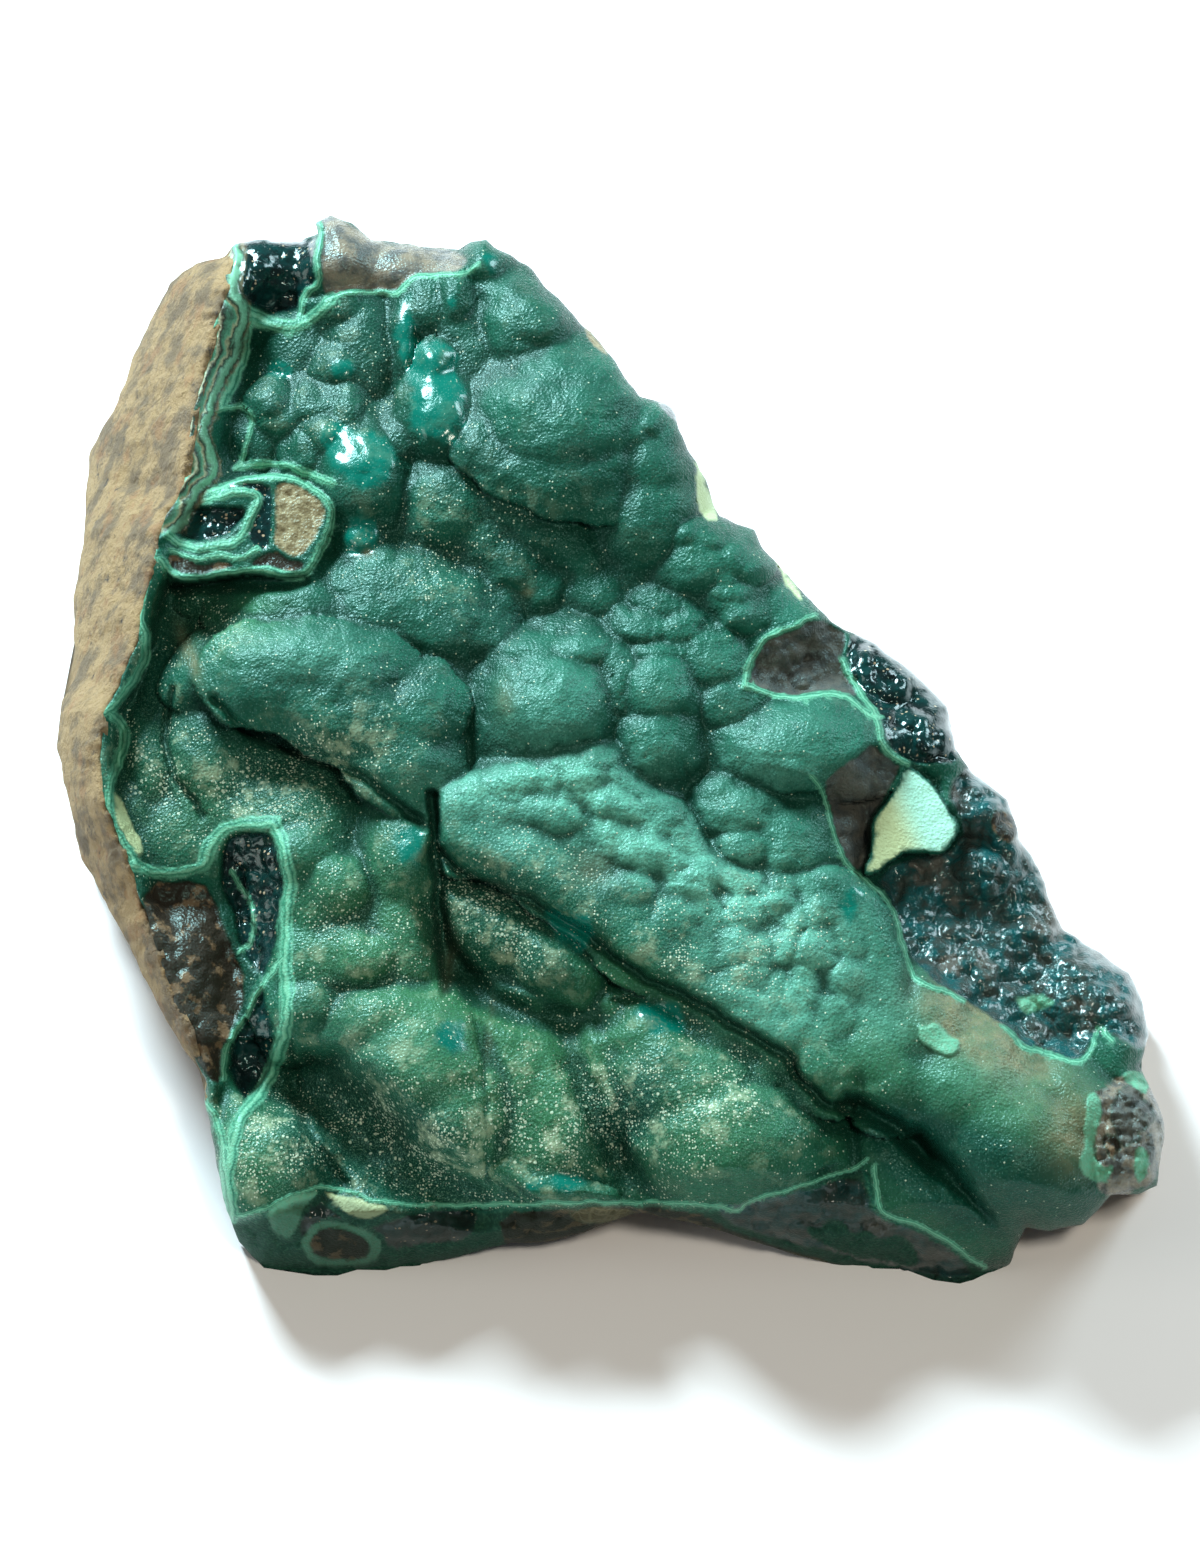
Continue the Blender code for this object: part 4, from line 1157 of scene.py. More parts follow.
class Relief:
    """The shape of the face: how far each place on the sheet stands out from it, in metres."""

    rock = np.array(ROCK_LINE, float)

    def __init__(self) -> None:
        """Measures the distances to the specimen's outline, and the face's heights on the grid, once."""
        x, y = GRID.crossings()
        depth = reach(np.array(OUTLINE, float), x, y, True)
        self.depths = depth + np.where(np.abs(depth) < 40, 1.6 * ripple(x, y, 24, 51, 3) - 1.0, 0)
        self.heights = self.face(x.ravel(), y.ravel()).reshape(x.shape)
        self.lowest = self.heights
        for axis in (0, 1):
            self.lowest = np.minimum.reduce([np.roll(self.lowest, step, axis) for step in range(-3, 4)])

    def rock_side(self, x: Array, y: Array) -> Array:
        """How far right of the rock each place lies, in steps."""
        return x - np.interp(y, self.rock[:, 1], self.rock[:, 0]) - 2.5 * ripple(x, y, 26, 5, 3)

    def inside(self, x: Array, y: Array) -> Array:
        """How far inside the specimen's outline each place lies, in steps."""
        return GRID.at(self.depths, x, y)

    def wobble(self, x: Array, y: Array) -> Shift:
        """Small shifts that keep drawn lines from running straight."""
        return 2.4 * ripple(x, y, 30, 11, 3), 2.4 * ripple(x, y, 30, 21, 3)

    def from_rim(self, x: Array, y: Array, shift: Shift) -> tuple[Array, Array]:
        """Which places lie near the banded rim, and how far from its line."""
        shift = (RIM_STRAY * shift[0], RIM_STRAY * shift[1])
        return measured(rounded(RIM_BAND, False), False, x, y, shift, RIM_HALF)

    def chunk(self, x: Array, y: Array) -> Array:
        """Works out the broad form of the face under its lobes.

        Args:
            x: Steps to the right.
            y: Steps down.

        Returns:
            How far it stands out.
        """
        out = slope(y) + painted(HOLLOWS, x, y) * MM
        right = x - np.interp(y, self.rock[:, 1], self.rock[:, 0])
        fade = np.clip((900 - y) / 120, 0, 1) * np.clip((y - 250) / 60, 0, 1)
        out = out + SHOULDER * fade * np.exp(-((right / 26.0) ** 2))
        flank = np.clip(-right, 0, None) * SHEET.step
        return out - FLANK_FALL * flank - FLANK_CURVE * flank**2

    def under(self, x: Array, y: Array) -> Array:
        """The lowest that the face lies near each place, in metres."""
        return GRID.at(self.lowest, x, y)

    def bed(self, x: Array, y: Array, plain: Array) -> Array:
        """Works out the ground between the lobes, a little lower than the lobes round it.

        Args:
            x: Steps to the right.
            y: Steps down.
            plain: How far the broad form stands out over the slope.

        Returns:
            How far the ground stands out over the slope.
        """
        total = plain * GROUND_SHARE
        weights = np.full(np.shape(x), GROUND_SHARE)
        bumps = [values[:4] + values[5:6] for group in GROUPS.values() for values in group.lobes]
        bumps += [(px, py, half, half, rise) for swell in SWELLS for px, py, half, rise in swell.points]
        for px, py, wide, tall, rise in bumps:
            size = (wide * tall) ** 0.5
            near = (np.abs(x - px) < 3 * wide) & (np.abs(y - py) < 3 * tall)
            weight = np.exp(-0.9 * ((x[near] - px) / wide) ** 2 - 0.9 * ((y[near] - py) / tall) ** 2)
            total[near] += weight * (rise * MM - BED_DROP * size * SHEET.step)
            weights[near] += weight
        return total / weights

    def lobed(self, x: Array, y: Array) -> Array:
        """Works out the face with its lobes, layers and knobs, before anything is broken off.

        Args:
            x: Steps to the right.
            y: Steps down.

        Returns:
            How far it stands out.
        """
        bend_x, bend_y = 4.5 * ripple(x, y, 52, 3, 3), 4.5 * ripple(x, y, 52, 4, 3)
        plain = self.chunk(x, y)
        out = slope(y) + self.bed(x, y, plain - slope(y))
        wobble = self.wobble(x, y)
        ground = np.clip(painted(KNOBBED, x, y), 0, 1)
        small = knobs(x + bend_x * 2, y + bend_y * 2, 26, 88, 0.8) + 0.35 * knobs(x + bend_x, y, 13, 89, 0.8)
        out = out + ground * (small - 0.7) * 2.6 * MM
        for layer in LAYERS[:2]:
            layer.raise_on(x, y, out, wobble)
        for swell in SWELLS:
            swell.raise_on(x + bend_x, y + bend_y, out)
        for group in GROUPS.values():
            for values in group.lobes:
                Lobe(*values).raise_on(x + bend_x, y + bend_y, out, group)
        for layer in LAYERS[2:]:
            layer.raise_on(x, y, out, wobble)
        for field in KNOB_FIELDS:
            field.raise_on(x, y, out)
        for crease in CREASES:
            crease.cut_into(x, y, out, wobble)
        out = out + 0.2 * MM * ripple(x, y, 34, 31, 2) + 0.05 * MM * ripple(x, y, 7, 35, 2)
        for fall in FALLS:
            fall.cut_into(x, y, out, wobble)
        rim = np.interp(y, (540, 590), (RIM_WIDE, RIM_NARROW))
        out = plain + (out - plain) * ease(self.rock_side(x, y) / rim, 0.4, 1.4)
        up = (SHEET.foot_y - y) * SHEET.step
        wall = tan(SHEET.dip) * up + ease(up, 0, 6 * MM) * MM * ripple(x, y, 30, 91, 3)
        return np.minimum(out, wall + painted(OVERHANGS, x, y) * MM)

    def face(self, x: Array, y: Array) -> Array:
        """Works out the finished face.

        Args:
            x: Steps to the right.
            y: Steps down.

        Returns:
            How far it stands out.
        """
        out = self.lobed(x, y)
        shift = self.wobble(x, y)
        for broken in BREAKS:
            broken.cut_into(x, y, out, shift)
        for ridge in RIDGES:
            ridge.raise_on(x, y, out, shift)
        near, away = self.from_rim(x, y, shift)
        across = away / RIM_HALF
        out[near] += 0.7 * MM * np.sin(across * RIM_RIPPLES) * ease(1 - np.abs(across), 0, 0.3)
        return self.edged(x, y, out)

    def edged(self, x: Array, y: Array, out: Array) -> Array:
        """Keeps the face behind the upright front wall and rounds it down towards its outline.

        Args:
            x: Steps to the right.
            y: Steps down.
            out: How far the face stands out.

        Returns:
            How far it stands out once it is rounded down.
        """
        wall = tan(SHEET.dip) * (SHEET.foot_y - y) * SHEET.step
        out = np.minimum(out, wall + (1 + painted(OVERHANGS, x, y)) * MM)
        depth = self.inside(x, y) * SHEET.step
        bend = np.clip((FRONT_EDGE_ROUND - depth) / FRONT_EDGE_ROUND, 0, 1)
        floor = -(SHEET.foot_y - y) * SHEET.step / tan(SHEET.dip)
        return np.maximum(out - FRONT_EDGE_ROUND * (1 - np.sqrt(1 - bend**2)), floor)


RELIEF = Relief()


def blurred(field: Array, around: int) -> Array:
    """Averages a field of the grid over a square round each place, twice.

    Args:
        field: A number for each crossing.
        around: How many crossings the square reaches to each side.

    Returns:
        The averages.
    """
    width = 2 * around + 1
    for axis in (0, 1, 0, 1):
        margins = [(around + 1, around) if axis == side else (0, 0) for side in (0, 1)]
        total = np.cumsum(np.pad(field, margins, mode="edge"), axis=axis)
        count = total.shape[axis]
        upper, lower = np.take(total, range(width, count), axis), np.take(total, range(count - width), axis)
        field = (upper - lower) / width
    return field


def select_only(obj: bpy.types.Object) -> None:
    """Makes one object active and the only one selected."""
    bpy.ops.object.select_all(action="DESELECT")
    obj.select_set(True)
    bpy.context.view_layer.objects.active = obj


def corners_of(obj: bpy.types.Object) -> Array:
    """The places of an object's vertices."""
    flat = np.empty(len(obj.data.vertices) * 3)
    obj.data.vertices.foreach_get("co", flat)
    return flat.reshape(-1, 3)


def set_corners(obj: bpy.types.Object, points: Array) -> None:
    """Puts an object's vertices in their places."""
    obj.data.vertices.foreach_set("co", np.ascontiguousarray(points, float).ravel())
    obj.data.update()


def pick_vertices(obj: bpy.types.Object, chosen: Array) -> None:
    """Selects some of the active object's vertices and nothing else."""
    obj.data.polygons.foreach_set("select", np.zeros(len(obj.data.polygons), bool))
    obj.data.edges.foreach_set("select", np.zeros(len(obj.data.edges), bool))
    obj.data.vertices.foreach_set("select", chosen.astype(bool))
    bpy.ops.object.mode_set(mode="EDIT")
    bpy.ops.mesh.select_mode(type="VERT")


def mark(obj: bpy.types.Object, name: str, values: Array) -> None:
    """Stores one number for each vertex, for the finish to read."""
    layer = obj.data.attributes.new(name, "FLOAT", "POINT")
    layer.data.foreach_set("value", values.astype(np.float32))


@dataclass
class Slab:
    """A closed piece between two surfaces that are both drawn on the sheet.

    Spacing is the distance between vertices on the sheet, in steps. Keep is above zero where the piece is.
    """

    name: str
    spacing: float
    keep: Field
    front: Field
    back: Field
    limit: int
    left: float = 46.0
    right: float = 1176.0
    top: float = 204.0
    bottom: float = 1292.0
    rows: int = 0
    backing: float = 0.04

    def build(self) -> bpy.types.Object:
        """Models the piece.

        Returns:
            The object, with its place in its mesh.
        """
        made, columns, rows = self.sheet()
        inside = self.trimmed(made, columns, rows)
        LOG.info("%s: %d places on the sheet, %d in the piece", self.name, columns * rows, inside)
        self.thicken(made)
        self.thin_out(made)
        return made

    def sheet(self) -> tuple[bpy.types.Object, int, int]:
        """Adds a grid over the piece's part of the sheet, one unit to a step.

        Returns:
            The grid's object, and how many vertices it has across and down.
        """
        columns = int((self.right - self.left) / self.spacing)
        rows = int((self.bottom - self.top) / self.spacing)
        middle = ((self.left + self.right) / 2, (self.top + self.bottom) / 2, 0)
        bpy.ops.object.select_all(action="DESELECT")
        bpy.ops.mesh.primitive_grid_add(
            x_subdivisions=columns, y_subdivisions=rows, size=1.0, location=middle
        )
        made = bpy.context.object
        made.name = self.name
        made.scale = (self.right - self.left, self.bottom - self.top, 1)
        bpy.ops.object.transform_apply(location=True, rotation=False, scale=True)
        return made, columns + 1, rows + 1

    def trimmed(self, made: bpy.types.Object, columns: int, rows: int) -> int:
        """Deletes the grid outside the piece and pulls its rim onto the piece's edge.

        Args:
            made: The grid's object.
            columns: How many vertices it has across.
            rows: How many vertices it has down.

        Returns:
            How many vertices stay.
        """
        points = corners_of(made)
        grid = self.keep(points[:, 0], points[:, 1]).reshape(rows, columns)
        values = np.zeros((rows + 2, columns + 2))
        values[1:-1, 1:-1] = grid
        pull = np.zeros((rows, columns, 2))
        weight = np.zeros((rows, columns))
        for step_y in (-1, 0, 1):
            for step_x in (-1, 0, 1):
                window = values[1 + step_y:1 + step_y + rows, 1 + step_x:1 + step_x + columns]
                there = (window > 0) & (grid <= 0)
                share = np.where(there, grid / np.minimum(grid - window, -TINY), 0)
                pull[..., 0] += share * step_x
                pull[..., 1] += share * step_y
                weight += there
        shift = (pull / np.maximum(weight, 1)[..., None]).reshape(-1, 2)
        step = np.array([(self.right - self.left) / (columns - 1), (self.bottom - self.top) / (rows - 1)])
        points[:, :2] += shift * step
        set_corners(made, points)
        select_only(made)
        stay = (grid > 0) | (weight > 0)
        pick_vertices(made, ~stay.ravel())
        bpy.ops.mesh.delete(type="VERT")
        bpy.ops.object.mode_set(mode="OBJECT")
        return int(stay.sum())

    def thicken(self, made: bpy.types.Object) -> None:
        """Gives the sheet a back and walls, and puts both surfaces in their places.

        Args:
            made: The piece, still flat.
        """
        bpy.ops.object.mode_set(mode="EDIT")
        bpy.ops.mesh.select_all(action="SELECT")
        bpy.ops.mesh.extrude_region_move(TRANSFORM_OT_translate={"value": (0, 0, -1)})
        bpy.ops.object.mode_set(mode="OBJECT")
        points = corners_of(made)
        behind = points[:, 2] < -0.5
        if self.rows:
            self.add_rows(made, behind)
            placed = self.walled(corners_of(made))
        else:
            placed = self.two_sided(points, behind)
        placed[:, 2] = np.maximum(placed[:, 2], 0)
        set_corners(made, placed)
        bpy.ops.object.mode_set(mode="EDIT")
        bpy.ops.mesh.select_all(action="SELECT")
        bpy.ops.mesh.normals_make_consistent(inside=False)
        bpy.ops.object.mode_set(mode="OBJECT")
        if self.backing < 1:
            pick_vertices(made, np.concatenate([behind, np.zeros(len(placed) - len(behind), bool)]))
            bpy.ops.mesh.decimate(ratio=self.backing)
            bpy.ops.object.mode_set(mode="OBJECT")

    def two_sided(self, points: Array, behind: Array) -> Array:
        """Works out where the vertices of the front and the back go.

        Args:
            points: The flat piece's vertices.
            behind: Which of them belong to the back.

        Returns:
            Their places.
        """
        out = np.empty(len(points))
        for side, surface in ((~behind, self.front), (behind, self.back)):
            out[side] = surface(points[side, 0], points[side, 1])
        return SHEET.place(points[:, 0], points[:, 1], out)

    def walled(self, points: Array) -> Array:
        """Works out where the vertices of the front, the back and the dented walls between them go.

        Args:
            points: The flat piece's vertices.

        Returns:
            Their places.
        """
        depth = np.clip(-points[:, 2], 0, 1)
        front = self.front(points[:, 0], points[:, 1])
        back = np.minimum(self.back(points[:, 0], points[:, 1]), front - 0.5 * MM)
        side = points[:, :2] + self.dents(points, depth)
        return SHEET.place(side[:, 0], side[:, 1], front + (back - front) * depth)

    def dents(self, points: Array, depth: Array) -> Array:
        """Works out how far the walls between front and back are dented inwards.

        Args:
            points: The flat piece's vertices.
            depth: How far back each lies, from 0 at the front to 1.

        Returns:
            The dents to the right and down, in steps.
        """
        x, y = points[:, 0], points[:, 1]
        rim = ease(RELIEF.inside(x, y), 16, 2) * ease(depth, 0.0, 0.08)
        in_x = RELIEF.inside(x + 4, y) - RELIEF.inside(x - 4, y)
        in_y = RELIEF.inside(x, y + 4) - RELIEF.inside(x, y - 4)
        length = np.maximum(np.hypot(in_x, in_y), 1e-6)
        along = (x * in_y - y * in_x) / length
        lump = 5.0 * (ripple(along, depth * 620, 95, 41, 4) + 0.8)
        return np.stack([in_x / length * lump * rim, in_y / length * lump * rim], axis=1)

    def add_rows(self, made: bpy.types.Object, behind: Array) -> None:
        """Cuts the walls between front and back into rows.

        Args:
            made: The piece, still flat.
            behind: Which of its vertices belong to the back.
        """
        ends = np.empty(len(made.data.edges) * 2, int)
        made.data.edges.foreach_get("vertices", ends)
        ends = ends.reshape(-1, 2)
        across = behind[ends[:, 0]] != behind[ends[:, 1]]
        bpy.ops.object.mode_set(mode="EDIT")
        bpy.ops.mesh.select_mode(type="EDGE")
        bpy.ops.mesh.select_all(action="DESELECT")
        bpy.ops.object.mode_set(mode="OBJECT")
        made.data.edges.foreach_set("select", across)
        bpy.ops.object.mode_set(mode="EDIT")
        bpy.ops.mesh.subdivide(number_cuts=self.rows)
        bpy.ops.object.mode_set(mode="OBJECT")

    def thin_out(self, made: bpy.types.Object) -> None:
        """Brings the piece under its limit of triangles, keeping its forms."""
        made.data.calc_loop_triangles()
        count = len(made.data.loop_triangles)
        if count > self.limit:
            select_only(made)
            bpy.ops.object.modifier_add(type="DECIMATE")
            made.modifiers[-1].ratio = self.limit / count
            bpy.ops.object.modifier_apply(modifier=made.modifiers[-1].name)
        points = corners_of(made)
        points[:, 2] = np.maximum(points[:, 2], 0)
        set_corners(made, points)
        bpy.ops.object.shade_smooth()
        made.data.calc_loop_triangles()
        LOG.info("%s: %d triangles, now %d", self.name, count, len(made.data.loop_triangles))


class Graph:
    """A finish's node tree, built up a node at a time."""

    def __init__(self, name: str) -> None:
        """Starts a finish with a plain shader."""
        self.material = bpy.data.materials.new(name)
        self.material.use_nodes = True
        self.tree = self.material.node_tree
        self.shader = self.tree.nodes["Principled BSDF"]
        self.place = self.node("ShaderNodeTexCoord").outputs["Object"]

    def node(self, kind: str, **settings: object) -> bpy.types.ShaderNode:
        """Adds a node with its settings."""
        made = self.tree.nodes.new(kind)
        for key, value in settings.items():
            setattr(made, key, value)
        return made

    def put(self, socket: Socket, value: object) -> None:
        """Links a socket to another, or sets its value.

        Args:
            socket: The socket.
            value: Another socket, a colour or a number.
        """
        if isinstance(value, Socket):
            self.tree.links.new(value, socket)
        elif isinstance(value, tuple) and len(value) == 3 and socket.type == "RGBA":
            socket.default_value = (*value, 1.0)
        else:
            socket.default_value = value

    def give(self, **inputs: object) -> None:
        """Sets or links the shader's inputs, each named with its blanks as underscores."""
        for name, value in inputs.items():
            self.put(self.shader.inputs[name.replace("_", " ")], value)

    def fed(self, made: bpy.types.ShaderNode, *values: object) -> bpy.types.ShaderNode:
        """Sets or links a node's first inputs in turn."""
        for index, value in enumerate(values):
            self.put(made.inputs[index], value)
        return made

    def mark(self, name: str) -> Socket:
        """Reads a number stored on the vertices."""
        return self.node("ShaderNodeAttribute", attribute_name=name).outputs["Fac"]

    def noise(self, size: float, detail: float = 3.0, rough: float = 0.5) -> Socket:
        """Smooth noise whose swells are of a size in metres."""
        made = self.node("ShaderNodeTexNoise")
        self.put(made.inputs["Vector"], self.place)
        self.put(made.inputs["Scale"], 1 / size)
        self.put(made.inputs["Detail"], detail)
        self.put(made.inputs["Roughness"], rough)
        return made.outputs["Fac"]

    def cells(self, size: float, feature: str = "F1", output: str = "Distance") -> Socket:
        """Cells of a size in metres."""
        made = self.node("ShaderNodeTexVoronoi", feature=feature)
        self.put(made.inputs["Vector"], self.place)
        self.put(made.inputs["Scale"], 1 / size)
        return made.outputs[output]

    def specks(self, size: float, share: object) -> Socket:
        """Round grains scattered over a share of cells of a size in metres."""
        made = self.node("ShaderNodeTexVoronoi")
        self.put(made.inputs["Vector"], self.place)
        self.put(made.inputs["Scale"], 1 / size)
        split = self.fed(self.node("ShaderNodeSeparateColor"), made.outputs["Color"])
        there = self.sum("LESS_THAN", split.outputs[0], share)
        return self.times(there, self.span(made.outputs["Distance"], 0.42, 0.26))

    def sum(self, operation: str, first: object, second: object = 0.0, clamp: bool = False) -> Socket:
        """A sum of two numbers."""
        made = self.node("ShaderNodeMath", operation=operation, use_clamp=clamp)
        return self.fed(made, first, second).outputs[0]

    def times(self, first: object, second: object) -> Socket:
        """One number times another."""
        return self.sum("MULTIPLY", first, second)

    def span(self, value: object, low: float, high: float, start: float = 0.0, end: float = 1.0) -> Socket:
        """Maps a span of a number smoothly onto another."""
        made = self.node("ShaderNodeMapRange", interpolation_type="SMOOTHSTEP")
        return self.fed(made, value, low, high, start, end).outputs[0]

    def ramp(self, value: object, stops: Sequence[tuple[float, Colour]]) -> Socket:
        """Lays colours along a number.

        Args:
            value: The number.
            stops: Places from 0 to 1, each with its colour.

        Returns:
            The colour.
        """
        made = self.fed(self.node("ShaderNodeValToRGB"), value)
        band = made.color_ramp
        while len(band.elements) < len(stops):
            band.elements.new(1.0)
        for element, (place, colour) in zip(band.elements, stops):
            element.position = place
            element.color = (*colour, 1.0)
        return made.outputs["Color"]

    def mix(self, share: object, first: object, second: object) -> Socket:
        """A colour between two others."""
        made = self.node("ShaderNodeMix", data_type="RGBA")
        for index, value in ((0, share), (6, first), (7, second)):
            self.put(made.inputs[index], value)
        return made.outputs[2]

    def coats(self, colour: object, *coats: tuple[object, object]) -> Socket:
        """Lays further colours over one, each by its share."""
        for share, shade in coats:
            colour = self.mix(share, colour, shade)
        return colour

    def between(self, share: object, first: object, second: object) -> Socket:
        """A number between two others."""
        made = self.node("ShaderNodeMix", data_type="FLOAT")
        for index, value in ((0, share), (2, first), (3, second)):
            self.put(made.inputs[index], value)
        return made.outputs[0]

    def bump(self, height: object, distance: float, strength: object, normal: object = None) -> Socket:
        """Adds a fine relief on top of another.

        Args:
            height: The relief, from 0 to 1.
            distance: Its height in metres.
            strength: How much of it shows.
            normal: The relief under it, if there is one.

        Returns:
            The relief.
        """
        made = self.node("ShaderNodeBump")
        for name, value in (("Height", height), ("Distance", distance), ("Strength", strength)):
            self.put(made.inputs[name], value)
        if normal is not None:
            self.put(made.inputs["Normal"], normal)
        return made.outputs["Normal"]


class CrustGraph(Graph):
    """The crust's node tree, with the noises and numbers that several of its parts read."""

    def __init__(self) -> None:
        """Starts the finish and adds its noises."""
        super().__init__("malachite_crust")
        self.coarse = self.noise(16 * MM, 4)
        self.mottle = self.noise(5 * MM, 4, 0.6)
        self.fine = self.noise(0.9 * MM, 3, 0.6)
        self.grain = self.noise(0.4 * MM, 2, 0.7)
        # The dust and sparkle weight sets where the pale specks go, partly dust and partly painted sparkle.
        self.dusty, self.clean = self.mark("dust"), self.mark("clean")
        patchy = self.times(self.dusty, self.span(self.noise(9 * MM, 4, 0.6), 0.42, 0.62, 0.02, 0.9))
        self.dots = self.specks(0.72 * MM, patchy)

    def strayed(self, name: str, stray: float) -> Socket:
        """A number stored on the vertices that strays a little, so that its bands run unevenly."""
        return self.sum("ADD", self.mark(name), self.span(self.mottle, 0, 1, -stray, stray))


MINT = (0.110, 0.370, 0.235)
EDGE_BANDS = [
    (0.0, (0.005, 0.06, 0.035)), (0.16, MINT), (0.30, (0.02, 0.15, 0.09)), (0.42, MINT),
    (0.55, (0.15, 0.42, 0.27)), (0.66, (0.03, 0.19, 0.11)), (0.80, MINT), (1.0, (0.005, 0.06, 0.035)),
]
RIM_LINES = [
    (0.0, (0.16, 0.13, 0.07)), (0.08, (0.03, 0.05, 0.03)), (0.15, (0.12, 0.33, 0.21)),
    (0.25, (0.17, 0.42, 0.28)), (0.33, (0.03, 0.05, 0.035)), (0.38, (0.30, 0.34, 0.21)),
    (0.44, (0.10, 0.31, 0.20)), (0.56, (0.03, 0.03, 0.025)), (0.62, (0.34, 0.38, 0.25)),
    (0.68, (0.08, 0.30, 0.19)), (0.80, (0.16, 0.44, 0.29)), (0.90, (0.18, 0.48, 0.32)),
    (1.0, (0.01, 0.08, 0.05)),
]


@dataclass(frozen=True)
class CrustFinish:
    """Deep green crust with dust in its creases, mint broken edges and the minerals that show in its gaps,
    with painted shade in its creases, hollows and on the front wall, and painted sheen, highlights, glints
    and sparkle.
    """

    deep: Colour = (0.001, 0.045, 0.026)
    green: Colour = (0.003, 0.080, 0.046)
    # Painted sheen: a paler satin green laid on crests and lit parts.
    painted_sheen: Colour = (0.028, 0.150, 0.106)
    # Painted light: a light green laid where the face looks brightly lit.
    painted_light: Colour = (0.130, 0.440, 0.325)
    leaf: Colour = (0.026, 0.130, 0.048)
    powder: Colour = (0.330, 0.440, 0.280)
    teal: Colour = (0.0005, 0.125, 0.090)
    # Pale specks, partly dust and partly painted sparkle.
    dust: Colour = (0.560, 0.700, 0.520)
    frost: Colour = (0.180, 0.400, 0.270)
    # Painted glints: tiny light grains laid into the colour.
    painted_glint: Colour = (0.130, 0.340, 0.280)
    gleam: tuple[float, float, float, float] = (0.50, 1.0, 0.95, 1.0)
    mint: Colour = MINT
    dark: Colour = (0.004, 0.011, 0.011)
    dark_teal: Colour = (0.003, 0.032, 0.030)
    grey: Colour = (0.210, 0.190, 0.140)
    grey_dark: Colour = (0.080, 0.090, 0.085)
    brown: Colour = (0.030, 0.025, 0.018)
    brown_light: Colour = (0.150, 0.105, 0.060)
    tan: Colour = (0.170, 0.140, 0.070)
    tan_light: Colour = (0.265, 0.235, 0.130)
    pale: Colour = (0.470, 0.600, 0.330)
    pale_mint: Colour = (0.330, 0.680, 0.540)
    stain: Colour = (0.195, 0.190, 0.105)
    slate: Colour = (0.034, 0.048, 0.042)
    slate_teal: Colour = (0.006, 0.075, 0.078)
    ash: Colour = (0.090, 0.094, 0.080)
    ash_dark: Colour = (0.050, 0.060, 0.058)
    moss: Colour = (0.006, 0.080, 0.048)
    moss_light: Colour = (0.040, 0.170, 0.100)
    mint_flat: Colour = (0.130, 0.330, 0.210)
    # Painted shade laid into the creases.
    crease: Colour = (0.0006, 0.026, 0.015)
    fleck: Colour = (0.36, 0.30, 0.20)
    # Painted shade laid over the front wall.
    wall: Colour = (0.007, 0.009, 0.004)
    shine: float = 0.27
    coat: float = 0.45
    coat_rough: float = 0.14

    def material(self) -> bpy.types.Material:
        """Builds the finish.

        Returns:
            The material.
        """
        graph = CrustGraph()
        colour = self.dusted(graph, self.greens(graph))
        rough = graph.between(graph.clean, graph.span(graph.grain, 0.40, 0.60, 0.56, 0.26), 0.22)
        colour, rough = self.edged(graph, *self.patched(graph, colour, rough))
        wet = graph.sum("MAXIMUM", graph.clean, graph.sum("MAXIMUM", graph.mark("dark"), graph.mark("slate")))
        graph.give(
            Base_Color=colour, Roughness=rough, Specular_IOR_Level=self.shine, Specular_Tint=self.gleam,
            Coat_Weight=graph.times(wet, self.coat), Coat_Roughness=self.coat_rough,
            Normal=self.relief(graph),
        )
        return graph.material

    def greens(self, graph: CrustGraph) -> Socket:
        """Works out the greens of the bare crust, from its creases to its crests, with painted shade in the
        creases and shaded places and painted sheen and light on the crests and lit places.

        Args:
            graph: The finish's node tree.

        Returns:
            The colour.
        """
        mottle, fine = graph.mottle, graph.fine
        # Painted sheen, stronger on the crests and broken up by noise.
        sheen = graph.times(graph.mark("painted_sheen"), graph.span(mottle, 0.25, 0.75, 0.45, 1.0))
        sheen = graph.times(sheen, graph.span(fine, 0.3, 0.7, 0.45, 1.0))
        sheen = graph.times(sheen, graph.span(graph.mark("crest"), 0.0, 0.8, 0.30, 1.0))
        # Painted light, broken up by noise.
        painted_light = graph.times(graph.mark("painted_light"), graph.span(mottle, 0.25, 0.7, 0.4, 1.0))
        frost = graph.times(graph.span(graph.grain, 0.52, 0.66), graph.span(graph.dusty, 0, 1, 0.08, 0.60))
        return graph.coats(
            graph.mix(graph.span(graph.coarse, 0.35, 0.65), self.deep, self.green),
            (sheen, self.painted_sheen),
            (graph.times(graph.mark("leaf"), 0.85), self.leaf),
            (graph.times(painted_light, graph.span(fine, 0.3, 0.7, 0.6, 1.0)), self.painted_light),
            # Painted shade: the shade patches darken the greens to deep green.
            (graph.mark("shade"), self.deep),
            # Painted shade in the creases.
            (graph.times(graph.mark("crease"), 0.8), self.crease),
            (frost, self.frost),
            (graph.span(graph.noise(0.7 * MM, 3, 0.7), 0.50, 0.30, 0, 0.55), self.deep),
            (graph.clean, self.teal),
        )

